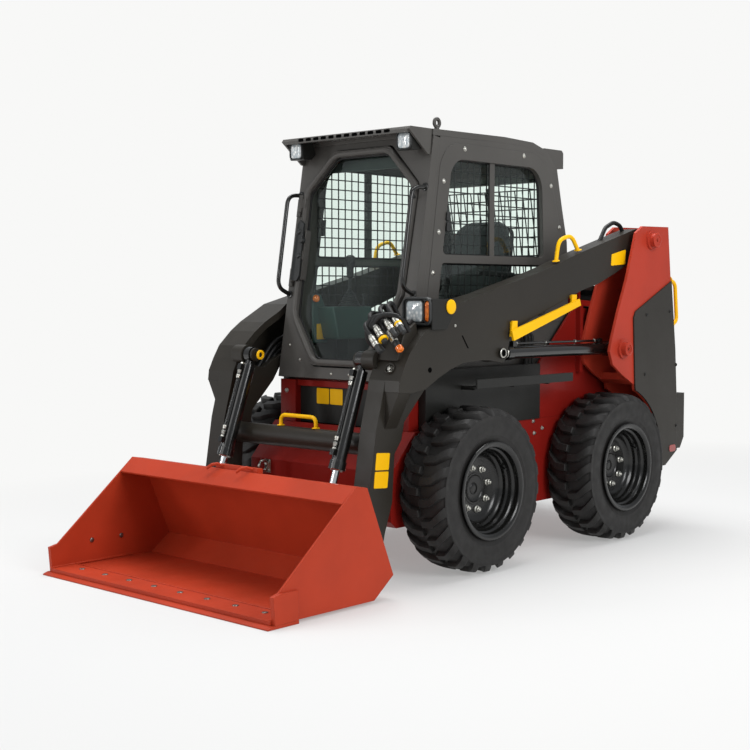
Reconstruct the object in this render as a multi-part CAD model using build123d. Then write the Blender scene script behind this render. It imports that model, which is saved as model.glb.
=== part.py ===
from build123d import *
import os
from math import hypot, radians, sqrt, tan

os.makedirs("parts", exist_ok=True)

# Skid steer loader, millimetres. It faces -Y, +X is its left side and +Z is up.
# The model is drawn with y measured from the front axle. Each piece is moved on export
# so that the origin is under the middle of the machine's length.

# Wheels and tyres
TYRE_RADIUS = 386.5
TYRE_WIDTH = 264
TREAD_RADIUS = 362
SHOULDER_RADIUS = 345
RIM_RADIUS = 209.5
RIM_LIP_RADIUS = 230
RIM_WALL = 8
DISC_THICKNESS = 12
DISC_INSET = 116
HUB_SPIGOT = 14
NUT_CIRCLE = 203
NUT_COUNT = 8
NUT_RADIUS = 14
LUGS_PER_ROW = 24
LUG_WIDTH = 42
WHEELBASE = 1150
SEAT_GAP = 0.3

# Chassis
CHASSIS_HALF = 470
CASE_WIDTH = 70
CASE_TOP = 655
BELLY_Z = 226
PLATE = 12
HUB_RADIUS = 72
HUB_GAP = 0.5
HUB_REACH = 146
TRACK_HALF = CHASSIS_HALF + HUB_REACH
SILL_Z = 880
POST_INSET = 40
POST_WIDTH = 106
TIE_RING_RADIUS = 33
TIE_RING_BORE = 19
RING_THICKNESS = 14

# Towers and rear end
TOWER_GAP = 30
TOWER_WIDTH = 190
TOWER_INNER = CHASSIS_HALF + TOWER_GAP
TOWER_OUTER = TOWER_INNER + TOWER_WIDTH
TOWER_PLATE = 16
ARCH_RADIUS = 420
PANEL_THICKNESS = 8
BUMPER_REAR = WHEELBASE + 672
BUMPER_DEPTH = 62
BUMPER_LOW = 430
BUMPER_HIGH = 738
HOOD_HALF = TOWER_INNER - 12
HOOD_THICKNESS = 26
HOOD_HINGE = (WHEELBASE - 68, 1354)
HOOD_HINGE_RADIUS = 9
HOOD_PIN = 4
LOUVRE_PITCH = 60
GATE_HINGE = (14 - TOWER_INNER, WHEELBASE + 600)
GATE_HINGE_RADIUS = 12
GATE_PIN = 6
GATE_HINGE_HEIGHTS = (860, 1080)
GATE_LUG = 12
GATE_KNUCKLE = 36

# Cab
CAB_INSET = 40
CAB_HALF = CHASSIS_HALF - CAB_INSET
CAB_WALL = 32
FRONT_Y = -249
FRONT_SLOPE = 0.165
FRONT_THICKNESS = 50
DOOR_GAP = 7
DOOR_HINGE_X = 28 - CAB_HALF
DOOR_HINGE_OUT = 13
DOOR_KNUCKLE = 12
DOOR_HINGE_PIN = 5
DOOR_HINGE_HEIGHTS = (1330, 1680)
KNUCKLE_LENGTH = 44
DOOR_RING = 30
DOOR_PROUD = 14
DOOR_INSET = 30
WIPER_X = -CAB_HALF + 63
WIPER_HEIGHTS = (1353, 1600)
GLASS = 6
ROOF_THICKNESS = 30
ROOF_TOP = 2064
VISOR_FRONT = -225
VISOR_PLATE = 14
LIFTING_EYE_RADIUS = 27
LIFTING_EYE_BORE = 13
GUARD_PITCH = 92
WINDOW_PLATE = 3
WINDOW_POST = 36
GUARD_BAR = 5

# Lift arms
ARM_OUTER = TOWER_OUTER - 51
ARM_BEAM_INNER = TOWER_INNER + 45
ARM_HEAD_INNER = ARM_BEAM_INNER - 90
LEG_OUTER = ARM_BEAM_INNER + 7
LIFT_PIVOT = (WHEELBASE + 298, 1580)
LIFT_PIVOT_BOSS = 62
LIFT_PIN_RADIUS = 30
CROSS_TUBE = (-500, 617)
CROSS_TUBE_RADIUS = 50
SIDE_CLEAR = 5
POCKET_WALL = 29
HOSE_RADIUS = 11
PIPE_RADIUS = 6
HOSE_PITCH = 27
HOSE_INSET = 40

# Lift cylinders
LIFT_X = TOWER_INNER + TOWER_WIDTH / 2
LIFT_BASE_PIN = (WHEELBASE + 27, 1004)
LIFT_EYE_PIN = (206, 1011)
LIFT_BARREL_RADIUS = 32
LIFT_ROD_RADIUS = 19
LIFT_EYE_RADIUS = 38
LIFT_EYE_WIDTH = 40
LIFT_BASE_EYE_RADIUS = 40
LIFT_ROD_START = 76
LIFT_ROD_OUT = 71
LIFT_PIN = 20

# Tilt cylinders, bucket pivot and coupler
TILT_X = ARM_HEAD_INNER - 79
TILT_BASE_PIN = (-480, 998)
TILT_LEAN = 20
TILT_EYE_Z = 400
TILT_BARREL_RADIUS = 34
TILT_ROD_RADIUS = 17
TILT_EYE_RADIUS = 28
TILT_EYE_WIDTH = 50
TILT_BASE_EYE_RADIUS = 38
TILT_BASE_EYE_WIDTH = 40
TILT_ROD_START = 148
TILT_ROD_OUT = 122
TILT_PIN = 22
BUCKET_PIVOT = (-610, 195)
BUCKET_PIN_RADIUS = 25
BACK_OFFSET = 114
PIN_CLEAR = 0.4
EAR = 12

# Bucket
BUCKET_OVER_TYRE = 14
BUCKET_HALF = TRACK_HALF + TYRE_WIDTH / 2 + BUCKET_OVER_TYRE
BUCKET_SIDE = 10
BUCKET_WEAR = 10
BUCKET_SHELL = 10
BUCKET_LIFT_OFF = 1
EDGE_THICKNESS = 13
LIP_Y = -1429
BACK_LOW = (-696, 105)
BACK_HIGH = (-858, 494)

ROW_SHIFT = -(LIP_Y + BUMPER_REAR) / 2
AXLE_Z = TYRE_RADIUS


def profile(points, x_low, x_high, radii=None):
    """Plate between two X stations from a closed side outline of (y, z) points."""
    if radii is None:
        outline = Polyline(*points, close=True)
    else:
        outline = FilletPolyline(*points, radius=radii, close=True)
    face = Plane.YZ.offset(x_low) * make_face(outline)
    return extrude(face, amount=x_high - x_low, dir=(1, 0, 0))


def aft(points):
    """Side outline points listed from the rear axle, as (y, z) from the front axle."""
    return [(WHEELBASE + y, z) for y, z in points]


def round_x(centre, radius, x_low, x_high):
    """Round bar along X, centred on (y, z)."""
    face = Plane.YZ.offset(x_low) * Pos(centre[0], centre[1]) * Circle(radius)
    return extrude(face, amount=x_high - x_low, dir=(1, 0, 0))


def block(x_low, x_high, y_low, y_high, z_low, z_high):
    """Box between two corners."""
    middle = Pos((x_low + x_high) / 2, (y_low + y_high) / 2, (z_low + z_high) / 2)
    return middle * Box(x_high - x_low, y_high - y_low, z_high - z_low)


def bar(start, end, radius):
    """Round bar between two points."""
    line = Vector(*end) - Vector(*start)
    return extrude(Plane(origin=start, z_dir=line) * Circle(radius), amount=line.length)


def bent_bar(points, radius, bend):
    """Round bar through the given points, each corner cut short into two mitred bends."""
    corners = [Vector(*point) for point in points]
    line = [corners[0]]
    for before, corner, after in zip(corners, corners[1:], corners[2:]):
        line.append(corner + (before - corner).normalized() * bend)
        line.append(corner + (after - corner).normalized() * bend)
    line.append(corners[-1])
    path = Polyline(*line)
    section = Plane(origin=path @ 0, z_dir=path % 0) * Circle(radius)
    return sweep(section, path=path, transition=Transition.RIGHT)


def hose(points, bends, carriers):
    """Hose of straight runs joined by tangent arcs, its ends seated on the pieces that carry it."""
    path = FilletPolyline(*points, radius=bends)
    section = Plane(origin=path @ 0, z_dir=path % 0) * Circle(HOSE_RADIUS)
    tube = sweep(section, path=path).cut(*carriers)
    return max(tube.solids(), key=lambda solid: solid.volume)


def both_sides(shape):
    """The shape and its mirror image in the machine's centre plane."""
    return shape + mirror(shape, about=Plane.YZ)


def along(start, end, distance):
    """Point at a distance from start towards end, in the (y, z) side view."""
    length = hypot(end[0] - start[0], end[1] - start[1])
    return (
        start[0] + (end[0] - start[0]) * distance / length,
        start[1] + (end[1] - start[1]) * distance / length,
    )


def save(node, shape):
    """Write one piece, moved so that the origin is under the middle of the machine."""
    export_step(Pos(0, ROW_SHIFT, 0) * shape, f"parts/{node}.step")


def save_pair(node, shape):
    """Write a left piece and its mirrored right piece."""
    save(f"{node}_left", shape)
    save(f"{node}_right", mirror(shape, about=Plane.YZ))


def save_shifted(node, shape, x):
    """Write a left piece at x, alike on both its own sides, and its copy on the right."""
    save(f"{node}_left", shape)
    save(f"{node}_right", Pos(-2 * x, 0, 0) * shape)


# Wheels

def tyre():
    """Tyre about the X axis: a rounded carcass with two staggered rows of angled lugs."""
    half = TYRE_WIDTH / 2
    tread_half = half - 22
    bead_half = half - 26
    shoulder = SHOULDER_RADIUS - 15
    ring = Plane.YZ * RegularPolygon(TREAD_RADIUS, LUGS_PER_ROW)
    small = Plane.YZ.offset(half) * RegularPolygon(shoulder, LUGS_PER_ROW)
    tread = extrude(ring, amount=tread_half, dir=(1, 0, 0))
    edge = loft([Plane.YZ.offset(tread_half) * RegularPolygon(TREAD_RADIUS, LUGS_PER_ROW), small])
    side = tread + edge
    carcass = side + mirror(side, about=Plane.YZ)
    hollow = Polyline(
        (0, RIM_RADIUS + SEAT_GAP), (bead_half, RIM_RADIUS + SEAT_GAP),
        (half, RIM_RADIUS + 75), (half + 10, RIM_RADIUS + 75), (half + 10, 0), (0, 0),
        close=True,
    )
    dish = revolve(make_face(hollow), axis=Axis.X)
    carcass = carcass - dish - mirror(dish, about=Plane.YZ)
    outline = Polyline(
        (4, -LUG_WIDTH),
        (half, LUG_WIDTH / 2 + 2),
        (half, LUG_WIDTH / 2 + 30),
        (4, -4),
        close=True,
    )
    reach = sqrt(TYRE_RADIUS ** 2 - (LUG_WIDTH / 2 + 30) ** 2)
    foot = SHOULDER_RADIUS - 22
    lug = extrude(Plane.XY.offset(foot) * make_face(outline), amount=reach - foot)
    pitch = 360 / LUGS_PER_ROW
    lugs = []
    for count in range(LUGS_PER_ROW):
        lugs.append(Rot(X=count * pitch) * lug)
        lugs.append(Rot(X=(count + 0.5) * pitch) * mirror(lug, about=Plane.YZ))
    return carcass.fuse(*lugs)


def rim():
    """Dished rim of a left wheel, its outer side towards +X, with hub boss and nuts."""
    half = TYRE_WIDTH / 2
    lip = half - 6
    disc = half - DISC_INSET
    section = Polyline(
        (-lip, RIM_RADIUS),
        (-lip, RIM_LIP_RADIUS),
        (-lip - 10, RIM_LIP_RADIUS),
        (-lip - 10, RIM_RADIUS - RIM_WALL),
        (disc - DISC_THICKNESS, RIM_RADIUS - RIM_WALL - 14),
        (disc - DISC_THICKNESS, 62),
        (disc - DISC_THICKNESS - HUB_SPIGOT, 62),
        (disc - DISC_THICKNESS - HUB_SPIGOT, 0),
        (disc, 0),
        (disc, RIM_RADIUS - RIM_WALL - 46),
        (disc + 30, RIM_RADIUS - RIM_WALL - 14),
        (lip - 34, RIM_RADIUS - RIM_WALL - 14),
        (lip - 30, RIM_RADIUS - RIM_WALL),
        (lip + 10, RIM_RADIUS - RIM_WALL),
        (lip + 10, RIM_LIP_RADIUS),
        (lip, RIM_LIP_RADIUS),
        (lip, RIM_RADIUS),
        close=True,
    )
    wheel = revolve(make_face(section), axis=Axis.X)
    nut = extrude(
        Plane.YZ.offset(disc) * RegularPolygon(NUT_RADIUS, 6), amount=18, dir=(1, 0, 0)
    )
    nuts = []
    for count in range(NUT_COUNT):
        angle = count * 360 / NUT_COUNT
        nuts.append(Rot(X=angle) * Pos(0, 0, NUT_CIRCLE / 2) * nut)
    return wheel.fuse(*nuts)


def wheels():
    """Four tyres and rims, the rims on the right turned round."""
    whole_tyre = tyre()
    whole_rim = rim()
    for end, y in (("front", 0), ("rear", WHEELBASE)):
        for side, sign in (("left", 1), ("right", -1)):
            place = Pos(sign * TRACK_HALF, y, AXLE_Z)
            turn = Rot(Z=0 if sign > 0 else 180)
            save(f"tyre_{end}_{side}", place * turn * whole_tyre)
            save(f"rim_{end}_{side}", place * turn * whole_rim)


def axle_hubs():
    """Axle housings from the chain cases to just short of the wheels' hub bosses."""
    disc_back = TRACK_HALF + TYRE_WIDTH / 2 - DISC_INSET - DISC_THICKNESS - HUB_SPIGOT
    hubs = []
    for y in (0, WHEELBASE):
        hub = round_x((y, AXLE_Z), HUB_RADIUS, CHASSIS_HALF + SEAT_GAP, disc_back - HUB_GAP)
        flange = round_x((y, AXLE_Z), HUB_RADIUS + 34, CHASSIS_HALF + SEAT_GAP, CHASSIS_HALF + 10)
        hubs.append(both_sides(hub + flange))
    return hubs[0] + hubs[1]


# Chassis

def chain_case():
    """Left chain case, the closed side beam that carries both axles of one side."""
    outline = [
        (-400, BELLY_Z + 31),
        (-362, BELLY_Z),
        (WHEELBASE + 330, BELLY_Z),
        (WHEELBASE + 460, BELLY_Z + 104),
        (WHEELBASE + 490, CASE_TOP),
        (-235, CASE_TOP),
        (-400, 480),
    ]
    return profile(outline, CHASSIS_HALF - CASE_WIDTH, CHASSIS_HALF)


def belly_pan():
    """Bent plate between the chain cases: front guard, sloping nose and belly."""
    half = CHASSIS_HALF - CASE_WIDTH - SEAT_GAP
    outline = [
        (-400, BELLY_Z + 31),
        (-362, BELLY_Z),
        (WHEELBASE + 330, BELLY_Z),
        (WHEELBASE + 460, BELLY_Z + 104),
        (WHEELBASE + 460 - PLATE, BELLY_Z + 110),
        (WHEELBASE + 326, BELLY_Z + PLATE),
        (-357, BELLY_Z + PLATE),
        (-400 + PLATE, BELLY_Z + 36),
        (-400 + PLATE, 475),
        (-228, CASE_TOP - 4),
        (-228, CASE_TOP),
        (-242, CASE_TOP),
        (-400, 480),
    ]
    return profile(outline, -half, half)


def front_frame():
    """Red front posts with their cross members and the two tie-down rings."""
    post_outer = CHASSIS_HALF - POST_INSET
    post = block(post_outer - POST_WIDTH, post_outer, -232, -150, CASE_TOP + SEAT_GAP, SILL_Z - 14)
    sill = block(-post_outer, post_outer, -215, -150, SILL_Z - 44, SILL_Z - 14)
    return both_sides(post) + sill


def eye_ring(radius, bore):
    """Ring about the X axis with its outer edges bevelled."""
    ring = Rot(Y=90) * Cylinder(radius, RING_THICKNESS)
    ring = chamfer(ring.edges(), RING_THICKNESS / 4)
    return ring - Rot(Y=90) * Cylinder(bore, 2 * RING_THICKNESS)


def tie_rings():
    """Two welded tie-down rings on the sloping nose."""
    x = CHASSIS_HALF - POST_INSET - 85
    ring = eye_ring(TIE_RING_RADIUS, TIE_RING_BORE)
    pad = block(x - 20, x + 20, -404, -400 - SEAT_GAP, 415, 478)
    return both_sides(Pos(x, -434, 447) * ring + pad)


def front_panel():
    """Black panel set back between the front posts."""
    half = CHASSIS_HALF - POST_INSET - POST_WIDTH - SEAT_GAP
    return block(-half, half, -196, -188, CASE_TOP + SEAT_GAP, SILL_Z - 44 - SEAT_GAP)


def side_tanks():
    """Tanks above the chain cases with their step rails, and three hoses up to the cab."""
    outline = [
        (-167, CASE_TOP + SEAT_GAP),
        (WHEELBASE - 415, CASE_TOP + SEAT_GAP),
        (WHEELBASE - 415, 937),
        (-130, 937),
        (-167, 900),
    ]
    tank = profile(outline, CAB_HALF + 6, CHASSIS_HALF + 8)
    tank_face = CHASSIS_HALF + 8
    rail_inner = tank_face + 82
    rail_outer = tank_face + 162
    rail_end = WHEELBASE - 356
    rail = block(rail_inner, rail_outer, 13, rail_end, 852, 860)
    rail = rail + block(rail_outer - 8, rail_outer, 13, rail_end, 852, 895)
    brackets = [
        block(tank_face, rail_inner + 2, y, y + 12, 838, 856) for y in (90, 400, WHEELBASE - 460)
    ]
    both = both_sides(tank.fuse(rail, *brackets))
    wall = block(0, CAB_HALF, 0, WHEELBASE, SILL_Z, 1200)
    x = (CAB_HALF + CHASSIS_HALF) / 2 + 12
    lines = [
        hose([(x, y, 900), (x, y, 1080), (CAB_HALF - 20, y, 1120)], [26], [wall])
        for y in [WHEELBASE - 520 + n * HOSE_PITCH for n in range(3)]
    ]
    return both.fuse(*lines)


def tower_outline():
    """Side outline of a tower plate, from its top down round the rear wheel's arch."""
    return aft([
        (213, 1653), (475, 1657), (507, 1372), (557, 983), (575, 749), (587, 420),
        (463, 348), (236, 348), (143, 809), (24, 868), (-64, 924), (-94, 993),
        (-76, 1055), (-13, 1210), (61, 1367), (149, 1616),
    ])


def tower():
    """Left tower: two plates with the rear web between them and the arm's pivot pins."""
    arch = round_x((WHEELBASE, AXLE_Z), ARCH_RADIUS, 0, TOWER_OUTER + 40)
    outer = profile(tower_outline(), TOWER_OUTER - TOWER_PLATE, TOWER_OUTER) - arch
    inner = profile(tower_outline(), TOWER_INNER, TOWER_INNER + TOWER_PLATE) - arch
    web = profile(
        aft([(450, 1640), (472, 1640), (505, 1372), (555, 983), (572, 749), (580, 470),
             (558, 470), (550, 749), (533, 983), (483, 1372)]),
        TOWER_INNER + TOWER_PLATE, TOWER_OUTER - TOWER_PLATE,
    )
    shelf = profile(
        aft([(143, 809), (90, 836), (106, 872), (159, 846)]),
        TOWER_INNER + TOWER_PLATE, TOWER_OUTER - TOWER_PLATE,
    )
    foot = block(
        CHASSIS_HALF + SEAT_GAP, TOWER_INNER, WHEELBASE + 395, WHEELBASE + 465, 520, 640
    )
    lift_pin = round_x(LIFT_PIVOT, LIFT_PIN_RADIUS, TOWER_INNER, TOWER_OUTER + 40)
    lift_flange = round_x(LIFT_PIVOT, 50, TOWER_OUTER, TOWER_OUTER + 12)
    lift_collar = round_x(LIFT_PIVOT, 36, TOWER_OUTER + 12, TOWER_OUTER + 40)
    base_pin = round_x(LIFT_BASE_PIN, LIFT_PIN, TOWER_INNER, TOWER_OUTER + 30)
    base_flange = round_x(LIFT_BASE_PIN, 50, TOWER_OUTER, TOWER_OUTER + 12)
    base_collar = round_x(LIFT_BASE_PIN, 36, TOWER_OUTER + 12, TOWER_OUTER + 38)
    return outer.fuse(inner, web, shelf, foot, lift_pin, lift_flange, lift_collar,
                      base_pin, base_flange, base_collar)


def tower_right():
    """Right tower, with the lugs and pins that the tailgate swings on."""
    plate = mirror(tower(), about=Plane.YZ)
    x, y = GATE_HINGE
    for z in GATE_HINGE_HEIGHTS:
        plate = plate + block(-TOWER_INNER, x, WHEELBASE + 500, y, z, z + GATE_LUG)
        plate = plate + Pos(x, y, z) * up_cylinder(GATE_HINGE_RADIUS, GATE_LUG)
        plate = plate + Pos(x, y, z) * up_cylinder(GATE_PIN, GATE_LUG + GATE_KNUCKLE)
    return plate


def side_panel():
    """Black cover over the rear of the tower's outer plate."""
    arch = round_x((WHEELBASE, AXLE_Z), ARCH_RADIUS, 0, TOWER_OUTER + 40)
    outline = aft([
        (505, 1362), (142, 1200), (123, 1166), (143, 809), (236, 348), (463, 348),
        (585, 422), (573, 749), (555, 983),
    ])
    low = TOWER_OUTER + SEAT_GAP
    return profile(outline, low, low + PANEL_THICKNESS) - arch


def rear_bumper():
    """Rear bumper beam with its two stays to the towers."""
    front = BUMPER_REAR - BUMPER_DEPTH
    outline = [
        (front, BUMPER_LOW), (BUMPER_REAR - 40, BUMPER_LOW), (BUMPER_REAR, BUMPER_LOW + 60),
        (BUMPER_REAR, BUMPER_HIGH), (front, BUMPER_HIGH),
    ]
    beam = profile(outline, -TOWER_OUTER, TOWER_OUTER)
    stay = profile(
        aft([(587.6, BUMPER_LOW), (575.8, BUMPER_HIGH)]) + [(front, BUMPER_HIGH), (front, BUMPER_LOW)],
        TOWER_INNER, TOWER_OUTER,
    )
    return beam + both_sides(stay)


def engine_block():
    """Engine as one plain block on its mounts."""
    body = block(-230, 230, WHEELBASE - 30, WHEELBASE + 380, 310, 860)
    foot = block(150, 230, WHEELBASE + 30, WHEELBASE + 110, BELLY_Z + PLATE + SEAT_GAP, 310)
    rear_foot = Pos(0, 200, 0) * foot
    return body + both_sides(foot) + both_sides(rear_foot)


def hood_outline():
    """Side outline of the engine hood between the towers."""
    return aft([
        (-65, 1345), (440, 1308), (490, 1275), (490, 1250), (468, 1250),
        (432, 1308 - HOOD_THICKNESS), (-65, 1345 - HOOD_THICKNESS),
    ])


def hood():
    """Engine hood with louvre slots, hinged at its front edge."""
    lid = profile(hood_outline(), -HOOD_HALF, HOOD_HALF)
    y, z = HOOD_HINGE
    half = HOOD_HALF - 188
    slots = [
        block(-half, half, y + 98 + n * LOUVRE_PITCH, y + 120 + n * LOUVRE_PITCH, 1260, 1360)
        for n in range(6)
    ]
    lid = lid.cut(*slots)
    for x in (-360, 320):
        lid = lid + round_x(HOOD_HINGE, HOOD_HINGE_RADIUS, x, x + 40)
        lid = lid + block(x, x + 40, y, y + 14, z - 14, z)
        lid = lid - round_x(HOOD_HINGE, HOOD_PIN + PIN_CLEAR, x - 5, x + 45)
    return lid


def rear_frame():
    """Upright frame that closes the engine bay beside the hood and carries the hood."""
    shelf = block(-HOOD_HALF, HOOD_HALF, WHEELBASE - 86, WHEELBASE - 71, 1230, 1330)
    side = profile(
        aft([(-86, SILL_Z), (-60, SILL_Z), (-60, 1230), (450, 1200), (450, 1225), (-86, 1262)]),
        TOWER_INNER - 30, TOWER_INNER - SEAT_GAP,
    )
    wall = profile(
        aft([(-412, CASE_TOP + SEAT_GAP), (440, CASE_TOP + SEAT_GAP), (440, 1190), (-60, 1220),
             (-84, 1240), (-412, 940)]),
        CHASSIS_HALF - PLATE, CHASSIS_HALF,
    )
    y, z = HOOD_HINGE
    frame = shelf + both_sides(side + wall)
    for x in (-360, 320):
        for low in (x - 20.5, x + 40.5):
            frame = frame + round_x(HOOD_HINGE, HOOD_HINGE_RADIUS, low, low + 20)
            frame = frame + block(low, low + 20, y - 12, y - 3, 1320, z)
        frame = frame + round_x(HOOD_HINGE, HOOD_PIN, x - 10, x + 50)
    return frame


def tailgate():
    """Rear door above the bumper, with a grille of slots."""
    outline = aft([
        (550, 748), (588, 748), (588, 1150), (550, 1242), (518, 1242), (540, 1140),
    ])
    leaf = profile(outline, 30 - TOWER_INNER, TOWER_INNER - 20)
    half = TOWER_INNER - 170
    slots = [
        block(-half, half, WHEELBASE + 450, WHEELBASE + 630, low, low + 26)
        for low in [820 + n * LOUVRE_PITCH for n in range(5)]
    ]
    leaf = leaf.cut(*slots)
    x, y = GATE_HINGE
    for z in GATE_HINGE_HEIGHTS:
        low = z + GATE_LUG + PIN_CLEAR
        leaf = leaf + Pos(x, y, low) * up_cylinder(GATE_HINGE_RADIUS, GATE_KNUCKLE)
        leaf = leaf + block(x, x + 40, WHEELBASE + 587, y, low, low + GATE_KNUCKLE)
        leaf = leaf - Pos(x, y, z) * up_cylinder(GATE_PIN + PIN_CLEAR, 100)
    return leaf


# Cab

def front_y(z):
    """y of the cab's leaning front plane at a height."""
    return FRONT_Y + (z - SILL_Z) * FRONT_SLOPE


FRONT_PLANE = Plane(
    origin=(0, FRONT_Y, SILL_Z), x_dir=(1, 0, 0), z_dir=(0, -1, FRONT_SLOPE)
)
FRONT_STRETCH = sqrt(1 + FRONT_SLOPE ** 2)

DOOR_CORNERS = [
    (230 - CAB_HALF, ROOF_TOP - 66), (CAB_HALF - 258, ROOF_TOP - 66),
    (CAB_HALF - 60, ROOF_TOP - 254), (CAB_HALF - 78, 1284),
    (CAB_HALF - 265, 942), (238 - CAB_HALF, 942), (58 - CAB_HALF, 1177),
    (48 - CAB_HALF, ROOF_TOP - 252),
]


def door_face(offset_in=0.0, radius=34.0):
    """Eight-sided door outline in the front plane, set in or out by an offset."""
    corners = [(x, (z - SILL_Z) * FRONT_STRETCH) for x, z in DOOR_CORNERS]
    face = make_face(FilletPolyline(*corners, radius=radius, close=True))
    if offset_in == 0:
        return face
    return offset(face, amount=-offset_in, kind=Kind.ARC)


def cab_front_frame():
    """Leaning front frame of the cab with the door's opening."""
    height = (ROOF_LOW - SILL_Z) * FRONT_STRETCH
    sheet = Pos(0, height / 2) * Rectangle(2 * CAB_HALF, height)
    frame = sheet - door_face(-DOOR_GAP)
    solid = extrude(FRONT_PLANE * frame, amount=-FRONT_THICKNESS)
    knuckles = []
    for z in DOOR_HINGE_HEIGHTS:
        place = door_hinge_place(z)
        foot = Pos(-DOOR_HINGE_OUT / 2, 0, KNUCKLE_LENGTH / 2) * Box(
            DOOR_HINGE_OUT, 2 * DOOR_KNUCKLE, KNUCKLE_LENGTH
        )
        knuckles.append(place * foot)
        knuckles.append(place * up_cylinder(DOOR_KNUCKLE, KNUCKLE_LENGTH))
        knuckles.append(place * up_cylinder(DOOR_HINGE_PIN, 2 * KNUCKLE_LENGTH))
    return solid.fuse(*knuckles)


def up_cylinder(radius, length):
    """Cylinder standing on the origin."""
    return Cylinder(radius, length, align=(Align.CENTER, Align.CENTER, Align.MIN))


def door_hinge_place(z):
    """Frame at a door hinge: X outwards from the front plane, Z up along the hinge's axis."""
    foot = FRONT_PLANE.from_local_coords(
        Vector(DOOR_HINGE_X, (z - SILL_Z) * FRONT_STRETCH, DOOR_HINGE_OUT)
    )
    return Plane(origin=foot, x_dir=(0, -1, FRONT_SLOPE), z_dir=(0, FRONT_SLOPE, 1))


def door_frame():
    """Door's rounded ring with its hinge straps and the wiper parked beside the hinges."""
    ring = door_face() - door_face(DOOR_RING)
    body = extrude(FRONT_PLANE.offset(-DOOR_INSET) * ring, amount=DOOR_INSET + DOOR_PROUD)
    straps = []
    bores = []
    for z in DOOR_HINGE_HEIGHTS:
        place = door_hinge_place(z)
        lift = Pos(0, 0, KNUCKLE_LENGTH + PIN_CLEAR)
        strap = Pos(4, 24, KNUCKLE_LENGTH * 1.5 + PIN_CLEAR) * Box(8, 48, KNUCKLE_LENGTH)
        straps.append(place * lift * up_cylinder(DOOR_KNUCKLE, KNUCKLE_LENGTH))
        straps.append(place * strap)
        bores.append(place * up_cylinder(DOOR_HINGE_PIN + PIN_CLEAR, 3 * KNUCKLE_LENGTH))
    return body.fuse(*straps, *wiper()).cut(*bores)


def wiper():
    """Wiper's boss on the ring, its arm, and its blade just in front of the pane."""
    low, high = [(z - SILL_Z) * FRONT_STRETCH for z in WIPER_HEIGHTS]
    x = WIPER_X
    boss = extrude(FRONT_PLANE * Pos(x, high) * Circle(17), amount=DOOR_PROUD + 16)
    arm_plane = FRONT_PLANE.offset(DOOR_PROUD + 6)
    line = Polyline((x - 7, high), (x + 7, high), (x + 42, low + 110), (x + 30, low + 110), close=True)
    lever = extrude(arm_plane * make_face(line), amount=6)
    blade = extrude(
        FRONT_PLANE.offset(GLASS + 8 - DOOR_INSET + 1) * Pos(x + 36, (low + high) / 2 + 10)
        * Rectangle(9, high - low), amount=DOOR_INSET + DOOR_PROUD + 6 - GLASS - 9,
    )
    return [boss, lever, blade]


def door_glass():
    """Door's single pane, behind the ring."""
    pane = door_face(DOOR_RING + SEAT_GAP)
    return extrude(FRONT_PLANE.offset(-DOOR_INSET + 8) * pane, amount=GLASS)


REAR_LINE = aft([(-210, ROOF_TOP - 126), (-165, 1749), (-116, 1565), (-100, 1300), (-100, SILL_Z)])
ROOF_LINE = [(-62, ROOF_TOP), (488, ROOF_TOP + 7)] + aft([
    (-425, ROOF_TOP - 1), (-295, ROOF_TOP - 37)]) + REAR_LINE[:1]
ROOF_LOW = ROOF_LINE[0][1] - ROOF_THICKNESS


def normal(start, end):
    """Unit normal, to the right of the way from start to end."""
    length = hypot(end[0] - start[0], end[1] - start[1])
    return ((end[1] - start[1]) / length, -(end[0] - start[0]) / length)


def offset_line(points, distance):
    """Open (y, z) line moved to its right by a distance, with mitred corners."""
    moved = []
    for index, point in enumerate(points):
        before = normal(points[index - 1], point) if index > 0 else None
        after = normal(point, points[index + 1]) if index < len(points) - 1 else None
        first = before or after
        second = after or before
        scale = distance / (1 + first[0] * second[0] + first[1] * second[1])
        moved.append((
            point[0] + (first[0] + second[0]) * scale,
            point[1] + (first[1] + second[1]) * scale,
        ))
    return moved


SHELL_LINE = ROOF_LINE + REAR_LINE[1:]
SHELL_INNER = offset_line(SHELL_LINE, ROOF_THICKNESS)


def cab_roof():
    """Bent roof sheet from the visor to the rear frame."""
    inner = SHELL_INNER[:len(ROOF_LINE)]
    return profile(ROOF_LINE + inner[::-1], -CAB_HALF, CAB_HALF)


def cab_rear_frame():
    """Rear wall of the cab with its window."""
    inner = SHELL_INNER[len(ROOF_LINE) - 1:]
    wall = profile(REAR_LINE + inner[::-1], -CAB_HALF, CAB_HALF)
    half = CAB_HALF - 100
    return wall - block(-half, half, WHEELBASE - 300, WHEELBASE, 1400, ROOF_TOP - 184)


def cab_side_outline():
    """Outline of a cab side, under the roof and between front and rear frames."""
    behind_front = FRONT_THICKNESS * FRONT_STRETCH
    top_front = (front_y(ROOF_LOW) + behind_front, ROOF_LOW)
    low_front = (front_y(SILL_Z) + behind_front, SILL_Z)
    inner = [point for point in SHELL_INNER if point[0] > 0]
    return [low_front, top_front] + inner


SIDE_WINDOW = [(5, 1480), (78, ROOF_TOP - 129)] + aft([(-350, ROOF_TOP - 129), (-328, 1480)])
SIDE_LOW_WINDOW = [(-36, 1180), (0, 1440)] + aft([(-332, 1440), (-310, 1180)])
WINDOW_PLATE_LINE = [(-122, 1150), (4, ROOF_TOP - 54)] + aft(
    [(-415, ROOF_TOP - 54), (-300, ROOF_TOP - 109), (-262, ROOF_TOP - 184), (-166, 1577), (-150, 1150)]
)


REAR_PANE_LINE = [
    along(SHELL_INNER[-5], SHELL_INNER[-4], 12), SHELL_INNER[-4], SHELL_INNER[-3],
    along(SHELL_INNER[-3], SHELL_INNER[-2], 180),
]


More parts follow.
